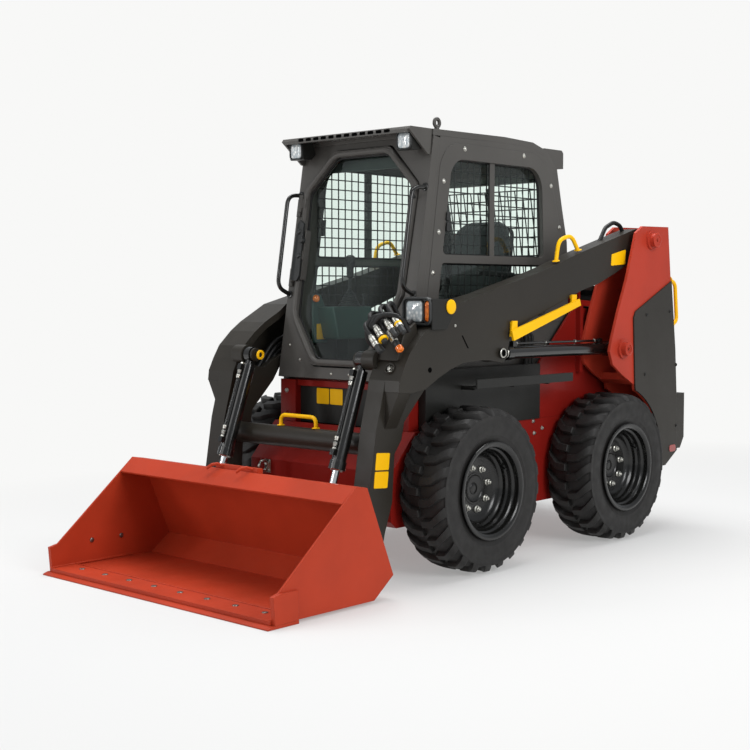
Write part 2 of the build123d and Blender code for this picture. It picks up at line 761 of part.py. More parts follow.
def cab_side():
    """Left cab side with an upper and a lower window."""
    wall = profile(cab_side_outline(), CAB_HALF - CAB_WALL, CAB_HALF)
    plate = profile(
        WINDOW_PLATE_LINE, CAB_HALF, CAB_HALF + WINDOW_PLATE, [20, 150, 60, 40, 60, 60, 20]
    )
    upper = profile(SIDE_WINDOW, CAB_HALF - 60, CAB_HALF + 20, [24, 100, 120, 24])
    lower = profile(SIDE_LOW_WINDOW, CAB_HALF - 60, CAB_HALF + 20, 24)
    middle = WHEELBASE - 750
    post = block(
        CAB_HALF - 20, CAB_HALF - 8, middle - WINDOW_POST / 2, middle + WINDOW_POST / 2, 1475, 1940
    )
    return (wall + plate - upper - lower) + post


def cab_glass():
    """Side panes and the rear pane, each behind its opening."""
    inner_face = CAB_HALF - CAB_WALL - SEAT_GAP
    upper = profile(
        [(-12, 1462), (66, 1950)] + aft([(-335, 1950), (-312, 1462)]),
        inner_face - GLASS, inner_face,
    )
    lower = profile(
        [(-54, 1165), (-16, 1455)] + aft([(-316, 1455), (-294, 1165)]),
        inner_face - GLASS, inner_face,
    )
    outer = offset_line(REAR_PANE_LINE, SEAT_GAP)
    inner = offset_line(REAR_PANE_LINE, SEAT_GAP + GLASS)
    rear = profile(outer + inner[::-1], 85 - CAB_HALF, CAB_HALF - 85)
    return both_sides(upper) + both_sides(lower) + rear


def wire_sheet(width, height):
    """Flat square mesh of wires, centred on the origin."""
    across = round(width / GUARD_PITCH)
    up = round(height / GUARD_PITCH)
    holes = GridLocations(width / across, height / up, across, up) * Rectangle(
        width / across - GUARD_BAR, height / up - GUARD_BAR
    )
    return Rectangle(width + GUARD_BAR, height + GUARD_BAR) - holes


def side_guards():
    """Square wire guards behind the side panes and behind the rear pane."""
    y_low, y_high, z_low, z_high = -10, WHEELBASE - 330, 1478, ROOF_TOP - 128
    inner_face = CAB_HALF - CAB_WALL - 2 * SEAT_GAP - GLASS - GUARD_BAR
    middle = Plane.YZ.offset(inner_face) * Pos((y_low + y_high) / 2, (z_low + z_high) / 2)
    sheet = middle * wire_sheet(y_high - y_low, z_high - z_low)
    side = extrude(sheet, amount=GUARD_BAR, dir=(1, 0, 0))
    pane = offset_line(REAR_PANE_LINE, 2 * SEAT_GAP + GLASS)
    top, low = pane[0], pane[-1]
    height = hypot(top[0] - low[0], top[1] - low[1])
    tilt = Plane(
        origin=(0, (top[0] + low[0]) / 2, (top[1] + low[1]) / 2), x_dir=(1, 0, 0),
        z_dir=(0, low[1] - top[1], top[0] - low[0]),
    )
    rear = extrude(tilt * wire_sheet(2 * (CAB_HALF - 95), height - GUARD_BAR), amount=GUARD_BAR)
    return both_sides(side) + rear


def cab_floor():
    """Cab floor on top of the chassis, between the tanks."""
    return block(
        -CAB_HALF, CAB_HALF, -150, WHEELBASE - 100, SILL_Z - 14 + SEAT_GAP, SILL_Z - SEAT_GAP
    )


def seat():
    """Seat base, cushion and back as one."""
    base = block(-215, 215, WHEELBASE - 720, WHEELBASE - 320, SILL_Z + SEAT_GAP, 1130)
    cushion = block(-240, 240, WHEELBASE - 770, WHEELBASE - 300, 1130, 1230)
    back = profile(
        aft([(-390, 1230), (-290, 1230), (-215, 1700), (-290, 1720), (-340, 1600)]), -220, 220, 14
    )
    return base + cushion + back


def consoles():
    """Side consoles with a lever and its boot on each."""
    body = profile(
        [(-60, SILL_Z + SEAT_GAP), (420, SILL_Z + SEAT_GAP), (420, 1230), (120, 1230), (20, 1170)],
        CAB_HALF - 180, CAB_HALF - 50,
    )
    x = CAB_HALF - 115
    boot = Pos(x, 90, 1228) * Cone(48, 22, 90, align=(Align.CENTER, Align.CENTER, Align.MIN))
    stick = bar((x, 90, 1300), (x, 75, 1420), 13)
    grip = bar((x, 75, 1415), (x, 62, 1520), 24)
    return both_sides(body.fuse(boot, stick, grip))


def cab_visor():
    """Brow over the door with vent slots and side cheeks."""
    rear = ROOF_LINE[0][0] - SEAT_GAP
    top = [(VISOR_FRONT, ROOF_TOP - VISOR_PLATE), (VISOR_FRONT + 10, ROOF_TOP), (rear, ROOF_TOP)]
    under = ROOF_TOP - VISOR_PLATE
    lid = profile(
        top + [(rear, under), (VISOR_FRONT + VISOR_PLATE, under),
               (VISOR_FRONT + VISOR_PLATE, under - 14), (VISOR_FRONT, under - 14)],
        -CAB_HALF + 18, CAB_HALF - 18,
    )
    foot = ROOF_TOP - 120
    cheek = profile(
        top + [(front_y(foot) - 1, foot), (front_y(foot) - 18, foot)],
        CAB_HALF - 18, CAB_HALF - 6,
    )
    slots = [
        block(x, x + 34, VISOR_FRONT + 35, VISOR_FRONT + 135, ROOF_TOP - 34, ROOF_TOP + 16)
        for x in [-204 + n * 52 for n in range(8)]
    ]
    return (lid + both_sides(cheek)).cut(*slots)


def work_lamps():
    """Two work lamps under the visor."""
    seat_z = ROOF_TOP - VISOR_PLATE - SEAT_GAP
    lamp = profile(
        [(-184, ROOF_TOP - 104), (-126, ROOF_TOP - 100), (-96, ROOF_TOP - 74),
         (-118, seat_z), (-184, seat_z)],
        CAB_HALF - 118, CAB_HALF - 24, 8,
    )
    return both_sides(lamp)


def cab_handles():
    """Bent grab handles on both front pillars."""
    high = front_y(1792)
    low = front_y(1290)
    points = [
        (CAB_HALF - 16, high - 4.6, 1792), (CAB_HALF - 16, high - 95, 1770),
        (CAB_HALF - 16, low - 95, 1312), (CAB_HALF - 16, low - 1.1, 1290),
    ]
    return both_sides(bent_bar(points, 11, 34))


def roof_box():
    """Box on the cab's rear edge."""
    outline = aft([
        (-215, ROOF_TOP - 120.3), (-98, ROOF_TOP - 111), (-98, ROOF_TOP - 29),
        (-112, ROOF_TOP - 15), (-270, ROOF_TOP - 15), (-282, ROOF_TOP - 50.1),
    ])
    return profile(outline, 40 - CAB_HALF, CAB_HALF - 40)


def lifting_eye():
    """Lifting eye standing on the roof."""
    x = CAB_HALF - 30
    ring = Pos(x, 0, ROOF_TOP + 34) * eye_ring(LIFTING_EYE_RADIUS, LIFTING_EYE_BORE)
    stem = Pos(x, 0, ROOF_TOP + 1.2) * up_cylinder(12, 12)
    return ring + stem


def rear_handles():
    """Vertical grab handles on the towers' rear edges."""
    points = [
        (TOWER_OUTER - 14, WHEELBASE + y, z)
        for y, z in ((511.8, 1370), (578, 1352), (602, 1140), (541.9, 1121))
    ]
    return both_sides(bent_bar(points, 11, 24))


# Lift arms

def head_outline():
    """Side outline of the gooseneck's wide head."""
    return [
        (60, 1295), (-153, 1241), (-318, 1152), (-383, 1107), (-460, 1037), (-498, 976),
        (-529, 914), (-535, 864), (-453, 856), (-356, 870), (-269, 915), (-179, 952),
        (-87, 977), (60, 984),
    ]


def leg_outline():
    """Side outline of the leg down to the bucket pivot."""
    return [
        (-383, 1107), (-460, 1037), (-498, 976), (-529, 914), (-540, 864), (-587, 690),
        (-625, 457), (-679, 200), (-610, 126), (-541, 190), (-528, 240), (-481, 370),
        (-467, 583), (-421, 642), (-401, 722), (-263, 858), (-200, 950),
    ]


def beam_outline():
    """Side outline of the beam from the head to the lift pivot."""
    rear = aft([
        (225, 1640), (298, 1642), (358, 1580), (340, 1535), (298, 1518), (250, 1490),
        (29, 1402), (-131, 1345), (-279, 1312),
    ])
    return [(58, 1295), (503, 1400), (609, 1429), (820, 1493)] + rear + [
        (675, 1249), (278, 1120), (251, 1055), (251, 1000), (206, 966), (103, 982), (58, 984),
    ]


def arm():
    """Left lift arm: beam, head, tapered gusset and leg, with its bosses and bores."""
    beam = profile(beam_outline(), ARM_BEAM_INNER, ARM_OUTER)
    head = profile(head_outline(), ARM_HEAD_INNER, ARM_OUTER)
    trim = Plane.XY.offset(900) * make_face(Polyline(
        (ARM_HEAD_INNER - 5, -230), (ARM_BEAM_INNER, 60), (ARM_BEAM_INNER, 80),
        (ARM_HEAD_INNER - 5, 80), close=True,
    ))
    head = head - extrude(trim, amount=420, dir=(0, 0, 1))
    leg = profile(leg_outline(), ARM_HEAD_INNER, LEG_OUTER)
    pocket = profile(
        [(70, 1262), (-140, 1208), (-300, 1122), (-362, 1077), (-420, 1020), (-424, 985),
         (-400, 940), (-330, 925), (-269, 958), (-179, 995), (-87, 1018), (70, 1024)],
        ARM_HEAD_INNER - 5, ARM_OUTER - POCKET_WALL,
    )
    head = head - pocket
    leg = leg - pocket
    gusset = extrude(
        Plane.XZ.offset(452) * make_face(Polyline(
            (LEG_OUTER - 4, 864), (ARM_OUTER, 864), (LEG_OUTER - 4, 690), close=True,
        )),
        amount=80, dir=(0, -1, 0),
    )
    pivot_boss = round_x(
        LIFT_PIVOT, LIFT_PIVOT_BOSS,
        TOWER_INNER + TOWER_PLATE + SIDE_CLEAR, TOWER_OUTER - TOWER_PLATE - SIDE_CLEAR,
    )
    pin_stub = round_x(LIFT_EYE_PIN, 24, ARM_OUTER, ARM_OUTER + 12)
    tilt_boss = round_x(TILT_BASE_PIN, 46, TILT_X + 20 + SIDE_CLEAR, ARM_HEAD_INNER + 20)
    tilt_pin = round_x(TILT_BASE_PIN, TILT_PIN, TILT_X - 36, TILT_X + 40)
    tilt_cap = round_x(TILT_BASE_PIN, 33, TILT_X - 36, TILT_X - 20 - SIDE_CLEAR)
    solid = beam.fuse(head, leg, gusset, pivot_boss, pin_stub, tilt_boss, tilt_pin, tilt_cap)
    slot_low = LIFT_X - LIFT_EYE_WIDTH / 2 - SIDE_CLEAR
    slot_high = LIFT_X + LIFT_EYE_WIDTH / 2 + SIDE_CLEAR
    eye_y, eye_z = LIFT_EYE_PIN
    room = LIFT_EYE_RADIUS + SIDE_CLEAR + 3
    slot = profile(
        [(eye_y - room, eye_z - 140), (eye_y - room, eye_z + 10), (eye_y - 20, eye_z + room),
         (eye_y + 200, eye_z + room), (eye_y + 200, eye_z - 140)],
        slot_low, slot_high,
    )
    bore = round_x(LIFT_PIVOT, LIFT_PIN_RADIUS + PIN_CLEAR, 0, TOWER_OUTER)
    low_bore = round_x(BUCKET_PIVOT, BUCKET_PIN_RADIUS + PIN_CLEAR, 0, TOWER_OUTER)
    return solid.cut(slot, bore, low_bore)


def cross_tube():
    """Round tube between the legs."""
    half = ARM_HEAD_INNER - SEAT_GAP
    return round_x(CROSS_TUBE, CROSS_TUBE_RADIUS, -half, half)


def arm_handles():
    """Grab handles on the cross tube and on top of both arms."""
    y, z = CROSS_TUBE
    tube_top = z + CROSS_TUBE_RADIUS + SEAT_GAP
    front = bent_bar(
        [(-146, y, tube_top), (-146, y, tube_top + 52), (91, y, tube_top + 52), (91, y, tube_top)],
        10, 18,
    )
    top = bent_bar(
        [(ARM_OUTER - 39, y, z) for y, z in ((667, 1453), (690, 1560), (800, 1590), (860, 1512))],
        11, 30,
    )
    return front + both_sides(top)


def arm_support():
    """Stowed lift arm support under the left arm."""
    rail = profile([(243, 1118), (811, 1268), (821, 1235), (259, 1070)], ARM_OUTER + 16, ARM_OUTER + 28)
    front = block(ARM_OUTER + SEAT_GAP, ARM_OUTER + 16, 262, 300, 1130, 1160)
    lug = profile([(250, 1090), (262, 1165), (302, 1165), (300, 1100)], ARM_OUTER + 6, ARM_OUTER + 16)
    rear = block(ARM_OUTER + SEAT_GAP, ARM_OUTER + 16, 760, 800, 1270, 1286)
    rear_lug = profile([(755, 1240), (760, 1290), (800, 1290), (798, 1250)], ARM_OUTER + 6, ARM_OUTER + 16)
    return rail.fuse(front, lug, rear, rear_lug)


def road_lamp():
    """Lamp with its bracket on the head of the left arm."""
    body = profile(
        [(-330, 1158), (-330, 1268), (-300, 1272), (-225, 1272), (-225, 1210), (-312, 1163)],
        ARM_OUTER - 144, ARM_OUTER + 12,
    )
    bracket = profile(
        [(-333, 1135), (-333, 1272), (-180, 1272), (-180, 1200), (-229, 1135)],
        ARM_OUTER + 12, ARM_OUTER + 18,
    )
    spacer = block(ARM_OUTER + SEAT_GAP, ARM_OUTER + 13, -300, -260, 1140, 1156)
    return body + bracket + spacer


def arm_hoses():
    """Three hoses nested in the right gooseneck, two behind the couplings, one over the left arm."""
    left_arm = arm()
    right_arm = mirror(left_arm, about=Plane.YZ)
    x = -ARM_HEAD_INNER - HOSE_INSET
    lowest = [(250, 1150), (0, 1130), (-230, 1050), (-350, 900)]
    hoses = []
    for count in range(3):
        line = offset_line(lowest, -count * HOSE_PITCH)
        y, z = line[0]
        points = [(-ARM_BEAM_INNER - 20, y + 70, z + 8), (x, y + 40, z + 4)]
        points = points + [(x, y, z) for y, z in line[1:]]
        hoses.append(hose(points, [45, 300, 200], [right_arm]))
    for x in (ARM_HEAD_INNER + 60, ARM_HEAD_INNER + 112):
        points = [(x, -404, 1150), (x, -372, 1176), (x, -348, 1148), (x, -362, 1105)]
        hoses.append(hose(points, [16, 22], [left_arm, aux_couplers()]))
    over = aft([(-45, 1545), (27, 1642), (104, 1674), (172, 1658), (215, 1590)])
    points = [(ARM_BEAM_INNER + 30, y, z) for y, z in over]
    hoses.append(hose(points, [60, 80, 60], [left_arm]))
    return hoses[0].fuse(*hoses[1:])


def aux_couplers():
    """Block of two quick couplings on the front of the left arm's head."""
    plate = profile(
        [(-498.6, 976.4), (-460.5, 1037.5), (-383.4, 1107.6), (-400, 1180), (-412, 1180), (-520, 1050)],
        ARM_HEAD_INNER + 25, ARM_HEAD_INNER + 145,
    )
    bodies = [
        bar((ARM_HEAD_INNER + x, -440, 1110), (ARM_HEAD_INNER + x, -560, 1070), 24)
        for x in (50, 120)
    ]
    return plate.fuse(*bodies)


# Cylinders

def lift_place():
    """Frame at the base pin with its Z axis towards the eye."""
    line = Vector(0, LIFT_EYE_PIN[0] - LIFT_BASE_PIN[0], LIFT_EYE_PIN[1] - LIFT_BASE_PIN[1])
    return Plane(origin=(LIFT_X, *LIFT_BASE_PIN), x_dir=(1, 0, 0), z_dir=line)


def cylinder_barrel(gland, radius, rod_radius, eye_radius, eye_width, pin_radius):
    """Barrel along Z from its base eye, with its feed pipe and open for the rod at its gland."""
    eye = Rot(Y=90) * Cylinder(eye_radius, eye_width)
    neck = up_cylinder(eye_width / 2, eye_radius + 24)
    tube = Pos(0, 0, eye_radius + 16) * up_cylinder(radius, gland - eye_radius - 16)
    gland_ring = Pos(0, 0, gland - 40) * up_cylinder(radius + 5, 40)
    port = Pos(0, radius + 8, gland - 70) * Box(24, 30, 28)
    low_port = Pos(0, radius + 8, eye_radius + 40) * Box(24, 30, 28)
    pipe = bar((0, radius + 12, eye_radius + 50), (0, radius + 12, gland - 80), PIPE_RADIUS)
    bore = Pos(0, 0, eye_radius + 20) * up_cylinder(rod_radius + PIN_CLEAR, gland)
    pin_bore = Rot(Y=90) * Cylinder(pin_radius + PIN_CLEAR, eye_width + 20)
    return eye.fuse(neck, tube, gland_ring, port, low_port, pipe).cut(bore, pin_bore)


def cylinder_rod(length, start, rod_radius, eye_radius, eye_width):
    """Rod along Z from start to its eye at length, with the eye's pin bore."""
    shaft = Pos(0, 0, start) * up_cylinder(rod_radius, length - start)
    eye = Pos(0, 0, length) * Rot(Y=90) * Cylinder(eye_radius, eye_width)
    hole = Pos(0, 0, length) * Rot(Y=90) * Cylinder(eye_radius * 0.5, eye_width + 20)
    return (shaft + eye) - hole


def lift_cylinder():
    """Left lift cylinder's barrel and rod."""
    reach = hypot(LIFT_EYE_PIN[0] - LIFT_BASE_PIN[0], LIFT_EYE_PIN[1] - LIFT_BASE_PIN[1])
    barrel = cylinder_barrel(
        reach - LIFT_ROD_OUT, LIFT_BARREL_RADIUS, LIFT_ROD_RADIUS, LIFT_BASE_EYE_RADIUS,
        LIFT_EYE_WIDTH, LIFT_PIN,
    )
    rod = cylinder_rod(reach, LIFT_ROD_START, LIFT_ROD_RADIUS, LIFT_EYE_RADIUS, LIFT_EYE_WIDTH)
    place = lift_place()
    return place * barrel, place * rod


def tilt_eye():
    """Bucket end of the tilt cylinder at rest, as (y, z)."""
    drop = TILT_BASE_PIN[1] - TILT_EYE_Z
    return (TILT_BASE_PIN[0] - drop * tan(radians(TILT_LEAN)), TILT_EYE_Z)


def tilt_cylinder():
    """Left tilt cylinder's barrel and rod."""
    eye = tilt_eye()
    reach = hypot(eye[0] - TILT_BASE_PIN[0], eye[1] - TILT_BASE_PIN[1])
    barrel = cylinder_barrel(
        reach - TILT_ROD_OUT, TILT_BARREL_RADIUS, TILT_ROD_RADIUS, TILT_BASE_EYE_RADIUS,
        TILT_BASE_EYE_WIDTH, TILT_PIN,
    )
    rod = cylinder_rod(reach, TILT_ROD_START, TILT_ROD_RADIUS, TILT_EYE_RADIUS, TILT_EYE_WIDTH)
    line = Vector(0, eye[0] - TILT_BASE_PIN[0], eye[1] - TILT_BASE_PIN[1])
    place = Plane(origin=(TILT_X, *TILT_BASE_PIN), x_dir=(1, 0, 0), z_dir=line)
    return place * barrel, place * rod


# Bucket and coupler

def back_point(up, out):
    """(y, z) of a point on the bucket's back: up the back from below the pivot, and out."""
    length = hypot(BACK_HIGH[0] - BACK_LOW[0], BACK_HIGH[1] - BACK_LOW[1])
    up_y = (BACK_HIGH[0] - BACK_LOW[0]) / length
    up_z = (BACK_HIGH[1] - BACK_LOW[1]) / length
    out_y = up_z
    out_z = -up_y
    foot_y = BUCKET_PIVOT[0] - BACK_OFFSET * out_y
    foot_z = BUCKET_PIVOT[1] - BACK_OFFSET * out_z
    return (foot_y + up * up_y + out * out_y, foot_z + up * up_z + out * out_z)


def bucket_shell():
    """Bucket: bent floor and back, spill plate, thick front edge and both side plates."""
    floor_z = BUCKET_LIFT_OFF + EDGE_THICKNESS + SEAT_GAP
    outer = [
        (-1400, floor_z), (-815, floor_z), BACK_LOW, BACK_HIGH, (-922, 504), (-999, 442),
    ]
    inner = offset_line(outer, -BUCKET_SHELL)
    inside = BUCKET_HALF - BUCKET_WEAR - BUCKET_SIDE
    shell = profile(outer + inner[::-1], -inside, inside)
    lip = block(-inside, inside, -1400, -1262, floor_z, floor_z + 16)
    side = profile(
        [(-1390, floor_z), (-1400, 126), (-1360, 137), (-922, 504), BACK_HIGH, BACK_LOW,
         (-815, floor_z)],
        inside, inside + BUCKET_SIDE,
    )
    wear = profile(
        [(-1390, floor_z), (-1400, 126), (-1360, 135), (-1263, 135), (-1263, floor_z)],
        inside + BUCKET_SIDE, BUCKET_HALF,
    )
    return shell + lip + both_sides(side + wear) + bucket_step()


def cutting_edge():
    """Bevelled bolt-on cutting edge under the bucket's front."""
    low = BUCKET_LIFT_OFF
    outline = [
        (LIP_Y, low), (-1262, low), (-1262, low + EDGE_THICKNESS), (-1404, low + EDGE_THICKNESS),
        (LIP_Y, low + 4),
    ]
    return profile(outline, -BUCKET_HALF, BUCKET_HALF)


def bucket_step():
    """Step bracket welded on the bucket's top edge."""
    channel = profile([(-905, 499), (-872, 494), (-872, 520), (-905, 522)], -150, 130)
    rods = [
        bent_bar([(x, -890, 512), (x - 20, -940, 530), (x - 50, -960, 505)], 7, 14)
        for x in (-100, 100)
    ]
    return channel.fuse(*rods)


def coupler_frame():
    """Attachment frame: base plate with ears for the arm legs and the tilt rods."""
    out = 16
    plate = profile(
        [back_point(-55, SEAT_GAP), back_point(300, SEAT_GAP), back_point(300, out),
         back_point(-55, out)],
        -LEG_OUTER - 38, LEG_OUTER + 38,
    )
    eye = tilt_eye()
    half_gap = TILT_EYE_WIDTH / 2 + SIDE_CLEAR
    slot = profile(
        [back_point(40, -20), back_point(340, -20), back_point(340, 60), back_point(40, 60)],
        TILT_X - half_gap, TILT_X + half_gap,
    )
    pivot_ear = [
        back_point(-52, out - 1), back_point(70, out - 1), back_point(44, BACK_OFFSET),
        back_point(-44, BACK_OFFSET),
    ]
    pieces = []
    for x in (ARM_HEAD_INNER - SIDE_CLEAR - EAR, LEG_OUTER + SIDE_CLEAR):
        pieces.append(profile(pivot_ear, x, x + EAR))
        pieces.append(round_x(BUCKET_PIVOT, 44, x, x + EAR))
    pieces.append(round_x(
        BUCKET_PIVOT, BUCKET_PIN_RADIUS, ARM_HEAD_INNER - SIDE_CLEAR - EAR, LEG_OUTER + 24
    ))
    tilt_ear = [
        back_point(120, out - 1), back_point(292, out - 1), back_point(259, 112),
        back_point(187, 112),
    ]
    for x in (TILT_X - half_gap - EAR, TILT_X + half_gap):
        pieces.append(profile(tilt_ear, x, x + EAR))
        pieces.append(round_x(eye, 36, x, x + EAR))
    half = pieces[0].fuse(*pieces[1:])
    return (plate - both_sides(slot)) + both_sides(half)


def build():
    """Make and write every piece."""
    wheels()
    save("axle_hubs", axle_hubs())
    save("chain_cases", both_sides(chain_case()))
    save("belly_pan", belly_pan())
    save("front_frame", front_frame())
    save("tie_rings", tie_rings())
    save("front_panel", front_panel())
    save("side_tanks", side_tanks())
    save("tower_left", tower())
    save("tower_right", tower_right())
    save("side_panels", both_sides(side_panel()))
    save("rear_bumper", rear_bumper())
    save("engine_block", engine_block())
    save("hood", hood())
    save("rear_frame", rear_frame())
    save("tailgate", tailgate())
    save("cab_front_frame", cab_front_frame())
    save("door_frame", door_frame())
    save("door_glass", door_glass())
    save("cab_roof", cab_roof())
    save("cab_rear_frame", cab_rear_frame())
    save_pair("cab_side", cab_side())
    save("cab_glass", cab_glass())
    save("side_guards", side_guards())
    save("cab_floor", cab_floor())
    save("seat", seat())
    save("consoles", consoles())
    save("cab_visor", cab_visor())
    save("work_lamps", work_lamps())
    save("cab_handles", cab_handles())
    save("roof_box", roof_box())
    save("lifting_eye", lifting_eye())
    save("rear_handles", rear_handles())
    save_pair("arm", arm())
    save("cross_tube", cross_tube())
    save("arm_handles", arm_handles())
    save("arm_support", arm_support())
    save("road_lamp", road_lamp())
    save("aux_couplers", aux_couplers())
    save("hoses", arm_hoses())
    lift_barrel, lift_rod = lift_cylinder()
    save_shifted("lift_barrel", lift_barrel, LIFT_X)
    save_shifted("lift_rod", lift_rod, LIFT_X)
    tilt_barrel, tilt_rod = tilt_cylinder()
    save_shifted("tilt_barrel", tilt_barrel, TILT_X)
    save_shifted("tilt_rod", tilt_rod, TILT_X)
    save("bucket_shell", bucket_shell())
    save("cutting_edge", cutting_edge())
    save("coupler_frame", coupler_frame())


build()
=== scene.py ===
# %% [markdown]
# # A skid steer loader, dressed for its portrait
# The solids of the loader are already measured and jointed. This lesson loads them as a fixed
# frame, gives every surface a real finish, and adds what is too fine for the solids: hoses,
# bolts, lamps, mesh and seals. We start by loading the frame and measuring a front tyre, whose
# middle gives the front axle. Nothing that we add may make the machine bigger.

# %% Load the solids and measure a tyre
import bpy
import bmesh
import math
import random
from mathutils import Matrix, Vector


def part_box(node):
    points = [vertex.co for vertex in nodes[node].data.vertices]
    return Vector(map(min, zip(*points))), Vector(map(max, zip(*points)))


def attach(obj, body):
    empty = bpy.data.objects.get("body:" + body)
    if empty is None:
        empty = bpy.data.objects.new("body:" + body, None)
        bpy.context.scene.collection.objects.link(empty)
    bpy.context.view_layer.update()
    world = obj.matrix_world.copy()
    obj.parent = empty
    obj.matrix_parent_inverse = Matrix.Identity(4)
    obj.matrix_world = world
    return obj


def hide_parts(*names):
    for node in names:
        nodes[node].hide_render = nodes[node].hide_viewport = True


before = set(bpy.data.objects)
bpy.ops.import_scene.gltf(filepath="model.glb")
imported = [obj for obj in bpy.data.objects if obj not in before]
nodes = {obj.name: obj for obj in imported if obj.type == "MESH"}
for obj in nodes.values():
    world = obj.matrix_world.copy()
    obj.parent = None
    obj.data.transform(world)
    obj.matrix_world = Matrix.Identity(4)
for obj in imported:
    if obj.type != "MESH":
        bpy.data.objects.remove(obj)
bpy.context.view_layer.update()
tyre_low, tyre_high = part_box("tyre_front_left")
AXLE_Y = (tyre_low[1] + tyre_high[1]) / 2
AXLE_Z = (tyre_low[2] + tyre_high[2]) / 2
print("solids", len(nodes), "front axle at y", round(AXLE_Y, 4), "z", round(AXLE_Z, 4))


def at(x, y, z):
    """A place in millimetres, with y measured from the front axle, as a point of the frame."""
    return Vector((x / 1000, AXLE_Y + y / 1000, z / 1000))


ACROSS = Vector((1, 0, 0))
BACK = Vector((0, 1, 0))
UP = Vector((0, 0, 1))

# %% [markdown]
# The camera stands in front of the machine's left side, a little above half its height. A lens
# of 64 mm keeps the wheels close to round and the cab's upright lines nearly parallel, which is
# how a catalogue photographer would show such a machine.

# %% Camera
camera_data = bpy.data.cameras.new("portrait")
camera_data.lens = 64.19
camera_data.sensor_width = 36
camera = bpy.data.objects.new("portrait", camera_data)
camera.location = (4.49926, -5.06988, 1.30304)
camera.rotation_euler = (math.radians(90 - 3.5541), 0, math.radians(42.6907))
bpy.context.scene.collection.objects.link(camera)
bpy.context.scene.camera = camera
bpy.context.scene.view_settings.view_transform = "Standard"
print("camera", [round(c, 3) for c in camera.location])

# %% [markdown]
# A node tree is written as a small recipe here: `add` makes a node and sets its sockets, `link`
# joins two sockets, and `surface` ends the recipe. All finishes share it. Patterns in them are
# driven by the object's own coordinates, which for these pieces are metres of the machine, so a
# grain size can be written as a real size.

# %% A helper for node trees


class Recipe:
    """A material's node tree, with a short way to add and join nodes."""

    def __init__(self, name):
        self.material = bpy.data.materials.new(name)
        self.material.use_nodes = True
        self.tree = self.material.node_tree
        self.tree.nodes.clear()
        self.out = self.add("ShaderNodeOutputMaterial")

    def add(self, kind, sockets=None, **settings):
        node = self.tree.nodes.new(kind)
        for name, value in settings.items():
            setattr(node, name, value)
        for name, value in (sockets or {}).items():
            if isinstance(value, bpy.types.NodeSocket):
                self.tree.links.new(value, node.inputs[name])
            else:
                node.inputs[name].default_value = value
        return node

    def link(self, source, target):
        self.tree.links.new(source, target)

    def finish(self, shader):
        """Send a shader to the surface, and hand back the material."""
        self.link(shader.outputs[0], self.out.inputs["Surface"])
        return self.material

    def surface(self, **sockets):
        """Finish with the general shader, its sockets named with _ for a space."""
        values = {name.replace("_", " "): value for name, value in sockets.items()}
        return self.finish(self.add("ShaderNodeBsdfPrincipled", values))

    def place(self):
        """Object coordinates, in metres."""
        return self.add("ShaderNodeTexCoord").outputs["Object"]

    def grain(self, scale, detail=4.0, roughness=0.55, vector=None):
        """Noise with about `scale` lumps per metre."""
        return self.add("ShaderNodeTexNoise", {
            "Vector": vector or self.place(), "Scale": scale, "Detail": detail,
            "Roughness": roughness,
        }).outputs["Fac"]

    def span(self, value, low, high, to_low=0.0, to_high=1.0):
        """Map a value from one range to another, held at the ends."""
        return self.add("ShaderNodeMapRange", {
            "Value": value, "From Min": low, "From Max": high, "To Min": to_low,
            "To Max": to_high,
        }).outputs["Result"]

    def mix(self, factor, first, second, blend="MIX"):
        """Mix two colours."""
        node = self.add("ShaderNodeMix", data_type="RGBA", blend_type=blend)
        for socket, value in ((0, factor), (6, first), (7, second)):
            if isinstance(value, bpy.types.NodeSocket):
                self.link(value, node.inputs[socket])
            elif socket == 0:
                node.inputs[0].default_value = value
            else:
                node.inputs[socket].default_value = value
        return node.outputs[2]

    def bump(self, height, strength, distance, normal=None):
        """Bump a surface by a height, with its depth in metres."""
        sockets = {"Height": height, "Strength": strength, "Distance": distance}
        if normal is not None:
            sockets["Normal"] = normal
        return self.add("ShaderNodeBump", sockets).outputs["Normal"]

    def round_edge(self, radius):
        """Shade sharp edges as if they had this radius."""
        return self.add("ShaderNodeBevel", {"Radius": radius}, samples=4).outputs["Normal"]


def colour(code):
    """A web colour code as the linear values that Blender works in."""
    parts = [int(code[i:i + 2], 16) / 255 for i in (1, 3, 5)]
    linear = [p / 12.92 if p <= 0.04045 else ((p + 0.055) / 1.055) ** 2.4 for p in parts]
    return (*linear, 1.0)


def shade(base, factor):
    """A colour made darker or lighter by a factor, held at white."""
    return tuple(min(1, c * factor) for c in base[:3]) + (1,)


print("helpers ready")

# %% [markdown]
# The photograph's paper-white room is built from a floor, a world and four soft lamps. The floor
# is an ordinary matt surface near the machine, so that it catches the soft shadow. Further out
# it fades into a plain glow of the same pale tone as the world, so no horizon shows.

# %% Floor, world and lamps
PALE = colour("#f8f8f7")
FLOOR_SIZE = 60.0
FLOOR_GLOW = 0.32


def floor_material():
    """Matt near the machine, plain pale glow far from it."""
    r = Recipe("studio_floor")
    position = r.add("ShaderNodeNewGeometry").outputs["Position"]
    flat = r.add("ShaderNodeVectorMath", {0: position, 1: (1, 0.62, 0)}, operation="MULTIPLY")
    reach = r.add("ShaderNodeVectorMath", {0: flat.outputs[0]}, operation="LENGTH")
    far = r.span(reach.outputs["Value"], 1.5, 3.6)
    speckle = r.span(r.grain(3.0, 3), 0.3, 0.7, 0.985, 1.0)
    matt = r.add("ShaderNodeBsdfDiffuse", {
        "Color": r.mix(speckle, colour("#cececd"), colour("#d2d2d1"))})
    glow = r.add("ShaderNodeEmission", {"Color": PALE, "Strength": 1.0})
    near = r.span(far, 0.0, 1.0, FLOOR_GLOW, 1.0)
    both = r.add("ShaderNodeMixShader", {
        0: near, 1: matt.outputs[0], 2: glow.outputs[0]})
    return r.finish(both)


